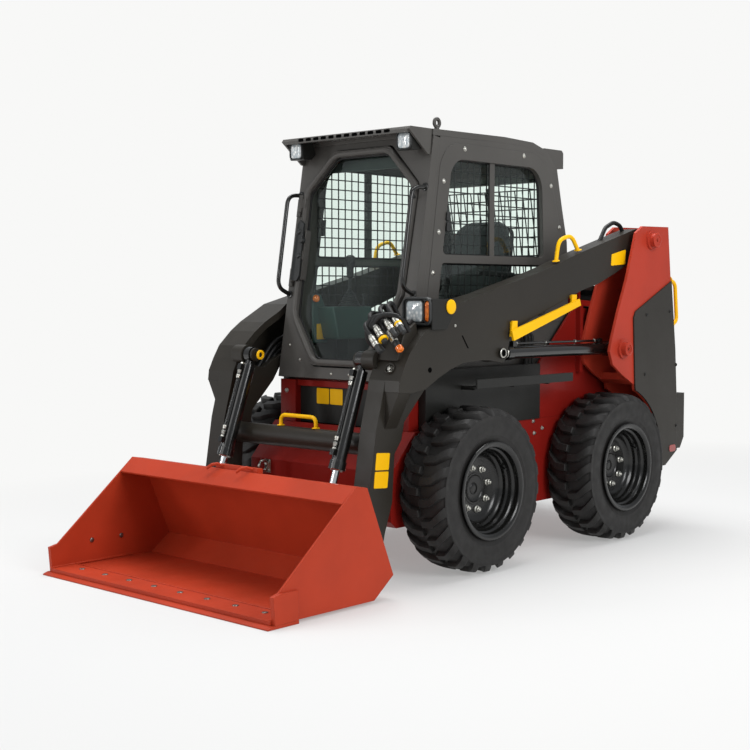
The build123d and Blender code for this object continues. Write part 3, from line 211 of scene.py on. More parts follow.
floor_mesh = bpy.data.meshes.new("studio_floor")
half = FLOOR_SIZE / 2
floor_mesh.from_pydata(
    [(-half, -half, 0), (half, -half, 0), (half, half, 0), (-half, half, 0)], [], [(0, 1, 2, 3)])
floor = bpy.data.objects.new("studio_floor", floor_mesh)
floor_mesh.materials.append(floor_material())
bpy.context.scene.collection.objects.link(floor)

world = bpy.data.worlds.new("studio")
bpy.context.scene.world = world
world.use_nodes = True
wt = world.node_tree
wt.nodes.clear()
surround = [wt.nodes.new(f"ShaderNode{kind}") for kind in (
    "OutputWorld", "MixShader", "Background", "Background", "LightPath", "Math")]
w_out, w_mix, w_light, w_seen, w_path, w_either = surround
w_light.inputs["Color"].default_value = (0.93, 0.96, 1.0, 1)
w_light.inputs["Strength"].default_value = 0.48
w_seen.inputs["Color"].default_value = PALE
w_seen.inputs["Strength"].default_value = 1.0
w_either.operation = "MAXIMUM"
for source, target in (
    (w_path.outputs["Is Camera Ray"], w_either.inputs[0]),
    (w_path.outputs["Is Transmission Ray"], w_either.inputs[1]),
    (w_either.outputs[0], w_mix.inputs[0]), (w_light.outputs[0], w_mix.inputs[1]),
    (w_seen.outputs[0], w_mix.inputs[2]), (w_mix.outputs[0], w_out.inputs["Surface"]),
):
    wt.links.new(source, target)


def soft_lamp(name, place, aim, size, power, tint=(1, 1, 1)):
    """A square studio lamp pointed at a spot."""
    data = bpy.data.lights.new(name, "AREA")
    data.shape = "RECTANGLE"
    data.size, data.size_y = size
    data.energy = power
    data.color = tint
    lamp = bpy.data.objects.new(name, data)
    lamp.location = place
    lamp.rotation_euler = (Vector(aim) - Vector(place)).to_track_quat("-Z", "Y").to_euler()
    bpy.context.scene.collection.objects.link(lamp)
    return lamp


soft_lamp("overhead", (-0.6, 0.9, 6.2), (0, 0, 0.4), (5.0, 5.0), 450)
soft_lamp("front_window", (-0.6, -7.2, 3.9), (0, -0.3, 0.8), (3.5, 3.5), 70, (1.0, 0.99, 0.97))
soft_lamp("side_window", (6.6, -1.0, 3.8), (0, 0, 0.9), (3.0, 3.0), 240, (0.99, 0.99, 1.0))
soft_lamp("narrow_window", (-3.9, -6.2, 2.4), (0, -0.7, 0.8), (0.3, 3.2), 75)

# %% [markdown]
# Painted steel is the machine's main finish. A sprayed coat is a colour under a thin clear gloss.
# Up close it has a faint orange peel, a slight drift in tone from panel to panel, a little dust
# that settles on faces that look up, and edges where the light catches a small radius. Each of
# these is one line of the recipe below, so every painted colour on the loader shares them.

# %% Painted steel


def painted(name, code, rough=0.38, dust=0.03, coat=0.04, sheen=0.22, peel=0.0006, drift=0.08):
    """Sprayed paint on steel plate."""
    r = Recipe(name)
    base = colour(code)
    tone = r.mix(
        r.span(r.grain(2.3, 5), 0.35, 0.65), shade(base, 1 - drift), shade(base, 1 + drift))
    normal = r.add("ShaderNodeNewGeometry").outputs["Normal"]
    up = r.add("ShaderNodeSeparateXYZ", {"Vector": normal}).outputs["Z"]
    settled = r.add("ShaderNodeMath", {
        0: r.span(up, 0.2, 1.0, 0.0, dust), 1: r.span(r.grain(14, 6, 0.7), 0.35, 0.75)},
        operation="MULTIPLY").outputs[0]
    tone = r.mix(settled, tone, colour("#a79c8c"))
    gloss = r.add("ShaderNodeMath", {
        0: r.span(r.grain(9, 6, 0.65), 0.3, 0.7, rough - 0.05, rough + 0.07),
        1: settled}, operation="ADD").outputs[0]
    fine = r.bump(r.grain(420, 2), 0.35, peel, r.round_edge(0.0035))
    wave = r.bump(r.grain(5, 2), 0.12, 0.004, fine)
    return r.surface(
        Base_Color=tone, Roughness=gloss, Specular_IOR_Level=sheen, Coat_Weight=coat,
        Coat_Roughness=0.16, IOR=1.5, Normal=wave)


ARM_PAINT = painted("arm_charcoal", "#2a2722", rough=0.38)
CAB_PAINT = painted("cab_charcoal", "#4e4c49", rough=0.38)
PANEL_BLACK = painted("panel_black", "#21211f", rough=0.42)
BUCKET_RED = painted("bucket_red", "#ad3920", rough=0.42, dust=0.02, sheen=0.14, drift=0.10)
# The chassis red is the machine's red made darker: painted shade for the frame, cases and hubs that sit
# low between the wheels and under the tanks.
SHADED_CHASSIS_RED = painted("chassis_red", "#7e1913", rough=0.34, coat=0.1, sheen=0.14)
TOWER_RED = painted("tower_red", "#a93726", rough=0.40, dust=0.02, sheen=0.14)
YELLOW = painted("safety_yellow", "#f4ba06", rough=0.40, dust=0.01, sheen=0.14, drift=0.04)
RIM_BLACK = painted("rim_black", "#0e0e0d", rough=0.26, dust=0.01, coat=0.5, drift=0.04)
BARREL_BLACK = painted("barrel_black", "#10100f", rough=0.15, dust=0.01, coat=0.8)
print("painted finishes", 9)

# %% [markdown]
# The other finishes: rubber that is dull with a faint bloom, hard chrome with hair-fine marks,
# zinc plate with its cloudy crystals, green-tinted safety glass, moulded plastic with a leather
# grain, woven seat cloth and the ribbed lens of a work lamp, whose colour carries a painted
# reflection of the reflector's facets.

# %% Rubber, metals, glass, plastic and cloth


def rubber(name, code, rough=0.55, bloom=0.4):
    """Tyre or hose rubber: dull, with a greyish bloom in patches."""
    r = Recipe(name)
    base = colour(code)
    tone = r.mix(r.span(r.grain(11, 6, 0.7), 0.4, 0.75), base, shade(base, 1 + bloom))
    skin = r.bump(r.grain(260, 4, 0.6), 0.3, 0.0008)
    return r.surface(
        Base_Color=tone, Specular_IOR_Level=0.3, Normal=skin,
        Roughness=r.span(r.grain(24, 4), 0.3, 0.7, rough - 0.1, rough + 0.1))


def bare_metal(name, code, rough, cloud, scale, stretch=(1, 1, 1)):
    """Plated or machined steel with a cloudy or brushed surface."""
    r = Recipe(name)
    place = r.add("ShaderNodeMapping", {"Vector": r.place(), "Scale": stretch}).outputs["Vector"]
    marks = r.grain(scale, 5, 0.6, place)
    base = colour(code)
    return r.surface(
        Base_Color=r.mix(r.span(marks, 0.35, 0.65), shade(base, 1 - cloud), base), Metallic=1.0,
        Roughness=r.span(marks, 0.3, 0.7, rough * 0.75, rough * 1.3),
        Normal=r.bump(marks, 0.15, 0.0004, r.round_edge(0.0015)))


def pane(name, tint, rough=0.02, mirror=0.06):
    """Thin tinted safety glass: mostly clear, with a reflecting face and faint dust."""
    r = Recipe(name)
    haze = r.span(r.grain(6, 5, 0.6), 0.45, 0.8, 0.0, 0.006)
    clear = r.add("ShaderNodeBsdfTransparent", {"Color": colour(tint)})
    film = r.add("ShaderNodeBsdfDiffuse", {"Color": colour("#b9c4bd")})
    body = r.add("ShaderNodeMixShader", {0: haze, 1: clear.outputs[0], 2: film.outputs[0]})
    shine = r.add("ShaderNodeBsdfGlossy", {"Color": (1, 1, 1, 1), "Roughness": rough})
    edge = r.add("ShaderNodeFresnel", {"IOR": 1.45})
    strength = r.span(edge.outputs[0], 0.0, 1.0, 0.0, mirror)
    both = r.add("ShaderNodeMixShader", {
        0: strength, 1: body.outputs[0], 2: shine.outputs[0]})
    return r.finish(both)


def moulded(name, code, rough=0.48, grain_size=900, depth=0.0004):
    """Moulded plastic with a fine leather grain."""
    r = Recipe(name)
    cells = r.add("ShaderNodeTexVoronoi", {"Vector": r.place(), "Scale": grain_size},
                  feature="DISTANCE_TO_EDGE").outputs["Distance"]
    base = colour(code)
    return r.surface(
        Base_Color=r.mix(r.span(r.grain(8, 5), 0.35, 0.7), base, shade(base, 1.18)),
        Roughness=r.span(r.grain(20, 4), 0.3, 0.7, rough - 0.06, rough + 0.08),
        Normal=r.bump(cells, 0.3, depth, r.round_edge(0.003)))


def woven(name, code, thread=700):
    """Seat cloth: crossed threads with a soft sheen."""
    r = Recipe(name)
    waves = []
    for direction in ("X", "Z"):
        waves.append(r.add("ShaderNodeTexWave", {"Vector": r.place(), "Scale": thread / 6.28,
                     "Distortion": 0.4}, bands_direction=direction).outputs["Fac"])
    cross = r.add("ShaderNodeMath", {0: waves[0], 1: waves[1]}, operation="MULTIPLY").outputs[0]
    base = colour(code)
    return r.surface(
        Base_Color=r.mix(cross, base, shade(base, 1.7)), Roughness=0.86, Sheen_Weight=0.3,
        Sheen_Roughness=0.5, Normal=r.bump(cross, 0.5, 0.0008))


def lens(name, code, dim):
    """Ribbed lamp lens whose colour carries a painted reflection: the reflector's facets as light and dim
    cells.
    """
    r = Recipe(name)
    rib = r.add("ShaderNodeTexWave", {"Vector": r.place(), "Scale": 38.0, "Distortion": 0.0},
                bands_direction="X").outputs["Fac"]
    # Light cells with dim edges: the reflector's facets, painted into the lens colour as a painted
    # reflection.
    facet_glints = r.add("ShaderNodeTexVoronoi", {"Vector": r.place(), "Scale": 55.0},
                  feature="F1").outputs["Distance"]
    return r.surface(
        Base_Color=r.mix(r.span(facet_glints, 0.1, 0.6), colour(code), colour(dim)),
        Metallic=0.1, Roughness=0.16, Coat_Weight=1.0, Coat_Roughness=0.03,
        Normal=r.bump(rib, 0.7, 0.002))


TYRE_RUBBER = rubber("tyre_rubber", "#1f1e1d")
HOSE_RUBBER = rubber("hose_rubber", "#151515", rough=0.42, bloom=0.3)
SEAL_RUBBER = rubber("seal_rubber", "#101010", rough=0.5, bloom=0.3)
CHROME = bare_metal("rod_chrome", "#dfe2e4", 0.10, 0.06, 160, (1, 12, 1))
ZINC = bare_metal("zinc_plate", "#c9c8c0", 0.30, 0.22, 90)
STEEL = bare_metal("worn_steel", "#8b8883", 0.38, 0.35, 60, (14, 1, 1))
ENGINE_IRON = painted("engine_iron", "#2a2b2b", rough=0.6, dust=0.05, coat=0.0)
GLASS = pane("green_glass", "#fbfffd")
HEADLINER = moulded("headliner_green", "#26302d", rough=0.7)
CONSOLE = moulded("console_teal", "#34504a")
CONSOLE_DARK = moulded("console_black", "#1b1d1d", rough=0.5)
CLOTH = woven("seat_cloth", "#1f2626")
LENS = lens("lamp_lens", "#fbfbf7", "#b4bdc1")
AMBER = lens("amber_lens", "#ff8a10", "#e06a06")
# A near-black stand-in for the shade inside holes and slots: painted shade.
PAINTED_HOLE_SHADE = painted("shaded_hole", "#050505", rough=0.9, dust=0.0, coat=0.0, sheen=0.02)
print("finishes", len(bpy.data.materials))

# %% [markdown]
# Each solid of the frame now gets its finish. The solids stay exactly as they are: only the
# material in their slot changes. The table below is sorted by finish, like a paint shop's list.

# %% Finishes for the solids
PAINT_LIST = {
    "arm_charcoal": (ARM_PAINT, ["arm_left", "arm_right", "cross_tube", "side_panels", "rear_bumper"]),
    "cab_charcoal": (CAB_PAINT, [
        "cab_front_frame", "cab_roof", "cab_rear_frame", "cab_side_left", "cab_side_right",
        "door_frame", "cab_visor", "side_guards", "cab_handles", "roof_box", "cab_floor",
        "lifting_eye"]),
    "panel_black": (PANEL_BLACK, [
        "side_tanks", "front_panel", "hood", "tailgate", "aux_couplers"]),
    "bucket_red": (BUCKET_RED, ["bucket_shell", "cutting_edge", "coupler_frame"]),
    # The darker red on the low chassis parts is painted shade.
    "chassis_red": (SHADED_CHASSIS_RED, [
        "belly_pan", "front_frame", "chain_cases", "axle_hubs", "rear_frame"]),
    "tower_red": (TOWER_RED, ["tower_left", "tower_right"]),
    "safety_yellow": (YELLOW, ["arm_handles", "rear_handles", "arm_support"]),
    "rim_black": (RIM_BLACK, [f"rim_{e}_{s}" for e in ("front", "rear") for s in ("left", "right")]),
    "tyre_rubber": (TYRE_RUBBER, [
        f"tyre_{e}_{s}" for e in ("front", "rear") for s in ("left", "right")]),
    "barrel_black": (BARREL_BLACK, [
        f"{k}_barrel_{s}" for k in ("lift", "tilt") for s in ("left", "right")]),
    "rod_chrome": (CHROME, [f"{k}_rod_{s}" for k in ("lift", "tilt") for s in ("left", "right")]),
    "zinc": (ZINC, ["tie_rings"]),
    "hose_rubber": (HOSE_RUBBER, ["hoses"]),
    "engine_iron": (ENGINE_IRON, ["engine_block"]),
    "glass": (GLASS, ["door_glass", "cab_glass"]),
    "lamp": (PANEL_BLACK, ["work_lamps", "road_lamp"]),
    "console": (CONSOLE, ["consoles"]),
    "cloth": (CLOTH, ["seat"]),
}
for finish, (material, names) in PAINT_LIST.items():
    for name in names:
        slots = nodes[name].material_slots
        for slot in slots:
            slot.link = "OBJECT"
            slot.material = material
painted_nodes = {n for _, names in PAINT_LIST.values() for n in names}
print("finished solids", len(painted_nodes), "left", sorted(set(nodes) - painted_nodes))

# %% [markdown]
# Everything from here on is a mesh of our own. One small workshop makes them all: it joins rings
# of points, because a turned nut, a hose, a plate and a tyre lug are all just rings that follow
# one another. Real machines are made in the same few ways, by turning, bending and cutting plate.

# %% A workshop for meshes


class Shape:
    """A mesh that grows from rings of points, in metres of the frame."""

    def __init__(self):
        self.mesh = bmesh.new()

    def skin(self, rings, closed=False):
        """Join rings of equally many points, one after another, and close both ends."""
        rows = [[self.mesh.verts.new(point) for point in ring] for ring in rings]
        pairs = list(zip(rows, rows[1:]))
        if closed:
            pairs.append((rows[-1], rows[0]))
        else:
            self.mesh.faces.new(rows[0][::-1])
            self.mesh.faces.new(rows[-1])
        for row, following in pairs:
            for i, vertex in enumerate(row):
                j = (i + 1) % len(row)
                self.mesh.faces.new((vertex, row[j], following[j], following[i]))

    def turn(self, centre, axis, profile, steps=32, closed=False):
        """A turned form: (along, radius) pairs in millimetres about an axis."""
        axis = Vector(axis).normalized()
        side = axis.orthogonal().normalized()
        up = axis.cross(side)
        rings = []
        for along, radius in profile:
            angles = [2 * math.pi * k / steps for k in range(steps)]
            rings.append([centre + axis * (along / 1000) + (
                side * math.cos(a) + up * math.sin(a)) * (radius / 1000) for a in angles])
        self.skin(rings, closed)

    def tube(self, path, radius, sides=12, closed=False):
        """A round bar along a list of points, its radius in millimetres."""
        count = len(path)
        rings = []
        side = None
        for i, point in enumerate(path):
            before = path[i - 1] if i or closed else point
            after = path[(i + 1) % count] if i < count - 1 or closed else point
            ahead = (after - before).normalized()
            side = ahead.orthogonal() if side is None else side - ahead * side.dot(ahead)
            side.normalize()
            up = ahead.cross(side)
            rings.append([point + (side * math.cos(a) + up * math.sin(a)) * (radius / 1000)
                          for a in [2 * math.pi * k / sides for k in range(sides)]])
        self.skin(rings, closed)

    def plate(self, outline, push):
        """A flat plate: an outline of points, pushed along a vector."""
        self.skin([outline, [point + push for point in outline]])

    def bolt(self, place, axis, across=18, height=9):
        """A washer, a hexagon head with a worn crown, and the end of the thread."""
        half = across / 2
        self.turn(place, axis, [(0, half * 1.45), (1.6, half * 1.45), (2.2, half * 1.35)], 20)
        self.turn(place, axis, [(2, half * 1.1), (height - 1.2, half * 1.1), (height, half * 0.9)], 6)
        self.turn(place, axis, [(height - 1, half * 0.55), (height + 2, half * 0.5)], 12)

    def done(self, name, material, body, slot=None, stands_for=(), bevel=0.0, angle=35):
        """Turn the rings into a piece that rides on a body."""
        bmesh.ops.recalc_face_normals(self.mesh, faces=self.mesh.faces)
        data = bpy.data.meshes.new(name)
        self.mesh.to_mesh(data)
        self.mesh.free()
        data.materials.append(material)
        piece = bpy.data.objects.new(name, data)
        bpy.context.scene.collection.objects.link(piece)
        if bevel:
            edges = piece.modifiers.new("soft_edges", "BEVEL")
            edges.width = bevel / 1000
            edges.segments = 2
            edges.limit_method = "ANGLE"
            edges.angle_limit = math.radians(40)
        data.shade_smooth()
        data.set_sharp_from_angle(angle=math.radians(angle))
        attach(piece, body)
        if stands_for:
            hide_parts(*stands_for)
        return piece


def bent(points, radii, steps=7, closed=False):
    """Points of a bar whose corners are bent round, each over its own reach in millimetres."""
    path = []
    last = len(points) - 1
    for i, point in enumerate(points):
        if not closed and i in (0, last):
            path.append(Vector(point))
            continue
        reach = (radii[i] if isinstance(radii, (list, tuple)) else radii) / 1000
        corner = Vector(point)
        start = corner + (Vector(points[i - 1]) - corner).normalized() * reach
        end = corner + (Vector(points[(i + 1) % len(points)]) - corner).normalized() * reach
        for k in range(steps + 1):
            t = k / steps
            path.append(start.lerp(corner, t).lerp(corner.lerp(end, t), t))
    return path


WHEELS = [(end, side) for end in ("front", "rear") for side in ("left", "right")]
print("workshop ready for", len(WHEELS), "wheels")

# %% [markdown]
# A loader's tyre is a smooth carcass with two rows of thick lugs that miss each other by half a
# pitch. Each lug runs level out of the crown, then kinks and climbs to the shoulder, where a
# raised ring ties the ends together. We could carve this out of one block, but it is easier to
# turn the carcass and then lay one lug, section by section, in the tyre's own polar space: how
# far across, how far round, and how far out.

# %% Tyres
LUGS = 24
TREAD_RADIUS = (tyre_high[2] - tyre_low[2]) * 500
HALF_WIDTH = (tyre_high[0] - tyre_low[0]) * 500
SIDE_PROFILE = [
    (0, 363), (60, 362), (96, 357), (114, 350), (123, 344), (126.5, 347), (129.5, 347.5),
    (131.6, 345), (131.8, 339), (130.2, 335), (131.2, 322), (131.6, 300), (130.0, 276),
    (127.5, 262), (127.8, 257), (125.6, 253), (121.5, 240), (117, 229), (115, 213), (104, 209.9),
]
LUG_SECTIONS = [
    (2, -29, 30, 382, 358), (6, -28, 35, 386, 356), (30, -26, 35, 386.4, 356),
    (60, -22, 36, 385.8, 355), (72, -14, 39, 385.2, 354), (98, 8, 42, 381.5, 350),
    (116, 24, 44, 374, 343), (126, 33, 46, 362, 338), (130.5, 37, 47, 348, 336),
]


def lug(shape, centre, turn, side):
    """One lug, placed round the tyre by an angle, on one side of its middle."""
    rings = []
    for across, middle, width, top, foot in LUG_SECTIONS:
        low = min(6, (top - foot) / 3)
        ring = []
        for offset, radius in (
            (-width / 2 - 7, foot), (-width / 2 - 1.5, top - low), (-width / 2 + 2, top - 0.8),
            (width / 2 - 2, top - 0.8), (width / 2 + 1.5, top - low), (width / 2 + 7, foot),
        ):
            angle = turn + (middle + offset) / TREAD_RADIUS
            ring.append(centre + Vector((
                side * across, radius * math.sin(angle), radius * math.cos(angle))) / 1000)
        rings.append(ring if side > 0 else ring[::-1])
    shape.skin(rings)


def tyre(end, side):
    """A whole tyre in the place of its plain solid."""
    low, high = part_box(f"tyre_{end}_{side}")
    centre = (Vector(low) + Vector(high)) / 2
    shape = Shape()
    inner = [(-x, r) for x, r in SIDE_PROFILE[:0:-1]]
    shape.turn(centre, ACROSS, SIDE_PROFILE + inner, 96, closed=True)
    hand = 1 if side == "left" else -1
    for k in range(LUGS):
        angle = 2 * math.pi * k / LUGS
        lug(shape, centre, angle, hand)
        lug(shape, centre, angle + math.pi / LUGS, -hand)
    return shape.done(f"tyre_{end}_{side}_rubber", TYRE_RUBBER, f"wheel_{end}_{side}",
                      "tyre_rubber", [f"tyre_{end}_{side}"], angle=30), centre


centres = {}
for end, side in WHEELS:
    tyre_piece, centres[end, side] = tyre(end, side)
print("tyre faces", len(tyre_piece.data.polygons), "radius", round(TREAD_RADIUS, 1))

# %% [markdown]
# The rim is pressed from sheet, so every change of radius is a soft step, and its gloss paint
# draws each step as a bright ring. It is turned from one profile. Eight zinc nuts stand on
# washers round a raised hub, and a rubber valve with its tip, all in one rubber finish, leans out of the
# barrel.

# %% Rims, nuts and valves
NUTS = 8
VALVE_WAY = Vector((0, math.cos(0.55), math.sin(0.55)))
RIM_PROFILE = [
    (126.4, 209.8), (126.2, 226), (128, 229.2), (132, 230), (135, 228), (136, 223), (134.6, 214),
    (131, 206), (126, 202), (106, 201.6), (101, 199), (97, 191), (93, 188.2), (76, 187.6),
    (71, 184), (67, 179.6), (62, 178.4), (50, 177.6), (45, 173.4), (41, 167.6), (36, 165.2),
    (28, 161), (22, 154), (18.4, 147), (16, 142), (16, 75), (17.2, 73.4), (19, 72.6), (19, 66),
    (17, 64), (15, 62.4), (13, 58), (13, 28), (15, 26.6), (16.8, 24), (17.4, 10), (17.4, 0.1),
    (-10, 0.1), (-10, 62), (4, 62), (4, 186), (-60, 190), (-96, 201.4), (-130, 201.4),
    (-136, 214), (-136, 228), (-132, 230), (-127, 228), (-126.4, 209.8),
]
NUT_CIRCLE = 101.5


def rim(end, side):
    """Rim, nuts and valve of one wheel."""
    centre = centres[end, side]
    out = Vector((1 if side == "left" else -1, 0, 0))
    body = f"wheel_{end}_{side}"
    shape = Shape()
    shape.turn(centre, out, RIM_PROFILE, 96, closed=True)
    shape.done(f"rim_{end}_{side}_steel", RIM_BLACK, body, "rim_black", [f"rim_{end}_{side}"])
    nuts = Shape()
    for k in range(NUTS):
        angle = math.radians(360 / NUTS * k + 12)
        spot = centre + out * 0.016 + Vector((0, math.cos(angle), math.sin(angle))) * (
            NUT_CIRCLE / 1000)
        nuts.turn(spot, out, [(0, 17), (2, 18.2), (3.4, 17.4), (5.5, 14.8)], 24)
        nuts.turn(spot, out, [(5, 14.2), (15, 14.2), (17.2, 11.6)], 6)
        nuts.turn(spot, out, [(16, 8.6), (22, 8.2), (24, 6.2), (24.6, 2)], 16)
    nuts.done(f"wheel_nuts_{end}_{side}", ZINC, body, "steel_zinc")
    valve = Shape()
    root = centre + out * 0.058 + VALVE_WAY * 0.179
    lean = out - VALVE_WAY * 0.45
    valve.turn(root, lean, [(0, 7), (8, 6.2), (30, 4.2), (32, 4.6), (42, 4.6), (43, 2)], 14)
    valve.done(f"tyre_valve_{end}_{side}", HOSE_RUBBER, body, "tyre_rubber")


for end, side in WHEELS:
    rim(end, side)
print("rims", len(WHEELS), "nuts", NUTS * len(WHEELS))

# %% [markdown]
# The grab handles are bent from round bar. A bend in a bar is never a sharp mitre, so we draw
# each one again with smooth bends, on the same two feet, and give each foot its small flange.
# The plain bars of the solids are hidden behind these.

# %% Grab handles
CAB_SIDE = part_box("cab_roof")[1][0] * 1000
ARM_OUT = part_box("arm_left")[1][0] * 1000 - 12
TOWER_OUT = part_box("side_panels")[1][0] * 1000 - 8.3
FRONT_LEAN = 0.165
FRONT_Y = -249
SILL_Z = 880
GRAB_RADIUS = 10.5


def front(x, z, out=0.0):
    """A place on the cab's leaning front, and a distance out of it."""
    scale = out / math.sqrt(1 + FRONT_LEAN ** 2)
    return at(x, FRONT_Y + (z - SILL_Z) * FRONT_LEAN - scale, z + scale * FRONT_LEAN)


FRONT_OUT = Vector((0, -1, FRONT_LEAN)).normalized()


def handle(name, points, bend, material, body, node, foot_way):
    """Bars on both sides with a flange at each foot."""
    shape = Shape()
    for hand in (1, -1):
        corners = [Vector((hand * p.x, p.y, p.z)) for p in points]
        shape.tube(bent(corners, bend, 9), GRAB_RADIUS, 20)
        for foot in (corners[0], corners[-1]):
            shape.turn(foot, foot_way, [
                (0.5, GRAB_RADIUS + 9), (4, GRAB_RADIUS + 9), (6, GRAB_RADIUS + 3)], 24)
    shape.done(name, material, body, stands_for=[node])


HANDLE_BLACK = painted("handle_black", "#191917", rough=0.2, dust=0.0, coat=0.6)
handle("cab_grab_bars", [
    front(CAB_SIDE - 16, 1792), front(CAB_SIDE - 16, 1772, 91),
    front(CAB_SIDE - 16, 1312, 91), front(CAB_SIDE - 16, 1290)],
    48, HANDLE_BLACK, "chassis", "cab_handles", FRONT_OUT)
handle("tower_grab_bars", [
    at(TOWER_OUT - 14, 1661.8, 1370), at(TOWER_OUT - 14, 1728, 1354),
    at(TOWER_OUT - 14, 1751, 1138), at(TOWER_OUT - 14, 1691.9, 1121)],
    34, YELLOW, "chassis", "rear_handles", (0, 1, 0.12))
handle("arm_grab_bars", [
    at(ARM_OUT - 39, 667, 1455), at(ARM_OUT - 39, 690, 1562), at(ARM_OUT - 39, 800, 1590),
    at(ARM_OUT - 39, 860, 1514)], 42, YELLOW, "arms", "arm_handles", (0, -0.23, 1))
tube_bar = Shape()
tube_bar.tube(bent([at(x, -500, z) for x, z in (
    (-146, 667.4), (-146, 719), (91, 719), (91, 667.4))], 34, 9), 9.5, 20)
for x in (-146, 91):
    tube_bar.turn(at(x, -500, 667.4), UP, [(0, 19), (3, 19), (5, 12)], 24)
tube_bar.done("cross_tube_grab_bar", YELLOW, "arms")
print("handles", 4, "cab half width", round(CAB_SIDE))

# %% [markdown]
# Safety glass in a cab sits in a rubber strip. We lay that strip as a soft black tube round each
# opening, just inside the edge of the steel. The fixed side frame is held by domed screws, and
# the sliding half of the window has a small black latch at its front edge.

# %% Seals, screws and latches of the side windows
UPPER = [(5, 1480), (78, 1935), (800, 1935), (822, 1480)]
LOWER = [(-36, 1180), (0, 1440), (818, 1440), (840, 1180)]
SCREWS = [
    (171, 1987), (645, 1989), (14, 1825), (-21, 1585), (-64, 1392), (882, 1852), (960, 1640)]
seals = Shape()
screws = Shape()
latch = Shape()
for hand in (1, -1):
    deep = hand * (CAB_SIDE - 26)
    for line, radii, steps in ((UPPER, [24, 100, 120, 24], 10), (LOWER, 24, 6)):
        seals.tube(bent([at(deep, y, z) for y, z in line], radii, steps, closed=True), 7, 10, True)
    for y in (384, 416):
        seals.tube([at(hand * (CAB_SIDE - 15), y, 1476), at(hand * (CAB_SIDE - 15), y, 1938)], 4, 8)
    for y, z in SCREWS:
        screws.turn(at(hand * (CAB_SIDE + 3), y, z), (hand, 0, 0),
                    [(0, 12), (1.5, 12), (2.5, 9), (5.5, 8), (7.5, 4.5), (8, 1)], 20)
    grip = [at(hand * (CAB_SIDE - 24), y, z) for y, z in (
        (44, 1590), (66, 1592), (74, 1676), (52, 1674))]
    latch.plate(grip, Vector((hand * 0.012, 0, 0)))
    for low in (1588, 1638):
        lobe = [at(hand * (CAB_SIDE + 3.5), y, z) for y, z in (
            (24, low), (50, low), (54, low + 44), (28, low + 44))]
        latch.plate(bent(lobe, 10, 4, closed=True), Vector((hand * 0.012, 0, 0)))
    for y, z in ((56, 1606), (62, 1660)):
        latch.turn(at(hand * (CAB_SIDE - 14), y, z), (hand, 0, 0), [(0, 9), (12, 8), (14, 6)], 18)
seals.done("window_seals", SEAL_RUBBER, "chassis", "black_panel")
screws.done("window_screws", ZINC, "chassis", "steel_zinc")
latch.done("window_latches", CONSOLE_DARK, "chassis", "black_panel", bevel=3)
print("seals 4, screws", 2 * len(SCREWS))

# %% [markdown]
# Behind every pane except the door hangs a guard of welded wire, square holes of 50 mm. Straight
# thin tubes in two layers give the true crossing of welded mesh, which flat bars can't.

# %% Wire guards
PITCH = 0.050
WIRE = 3.3


def wire_guard(shape, origin, across, up, normal_to, columns, rows):
    """Welded mesh: one layer of upright wires, one of level wires just behind it."""
    for i in range(columns + 1):
        start = origin + across * (i * PITCH)
        shape.tube([start, start + up * (rows * PITCH)], WIRE, 6)
    for j in range(rows + 1):
        start = origin + up * (j * PITCH) + normal_to * (WIRE * 1.6 / 1000)
        shape.tube([start, start + across * (columns * PITCH)], WIRE, 6)


guards = Shape()
for hand in (1, -1):
    wire_guard(guards, at(hand * 389, -4, 1482), BACK, UP, -hand * ACROSS, 16, 9)
    wire_guard(guards, at(hand * 389, -25, 1186), BACK, UP, -hand * ACROSS, 17, 5)
rear_low = at(-330, 1008, 1400)
rear_up = (at(-330, 912, 1880) - rear_low).normalized()
wire_guard(guards, rear_low, ACROSS, rear_up, Vector((0, -1, -0.2)).normalized(), 13, 9)
guards.tube([rear_low + Vector((0.33, -0.006, -0.01)),
             rear_low + Vector((0.33, -0.006, 0)) + rear_up * 0.47], 15, 8)
guards.done("wire_guards", SEAL_RUBBER, "chassis", "black_panel", ["side_guards"])
print("guard wires", 2 * (17 + 10 + 18 + 6) + 14 + 10)

# %% [markdown]
# The door is one pane in an eight-sided ring of round tube. The tube catches a long highlight,
# which is the first thing one sees of the cab's front, so it is drawn as a true round bar on top
# of the plain ring, with a rubber bead along the glass.

# %% Door ring, bead, catch and wiper
DOOR = [(-200, 1998), (172, 1998), (370, 1810), (352, 1284), (165, 942), (-192, 942), (-372, 1177),
        (-382, 1812)]


def door_line(inset, out):
    """The door's outline, moved in towards its middle, as points on the cab's front."""
    middle = Vector((-5, 1470))
    line = []
    for i, corner in enumerate(DOOR):
        here = Vector(corner)
        before = (here - Vector(DOOR[i - 1])).normalized()
        after = (Vector(DOOR[(i + 1) % len(DOOR)]) - here).normalized()
        inward = (after - before).normalized()
        if inward.dot(middle - here) < 0:
            inward = -inward
        half_turn = math.sin(before.angle(-after) / 2)
        moved = here + inward * (inset / half_turn)
        line.append(front(moved.x, moved.y, out))
    return line


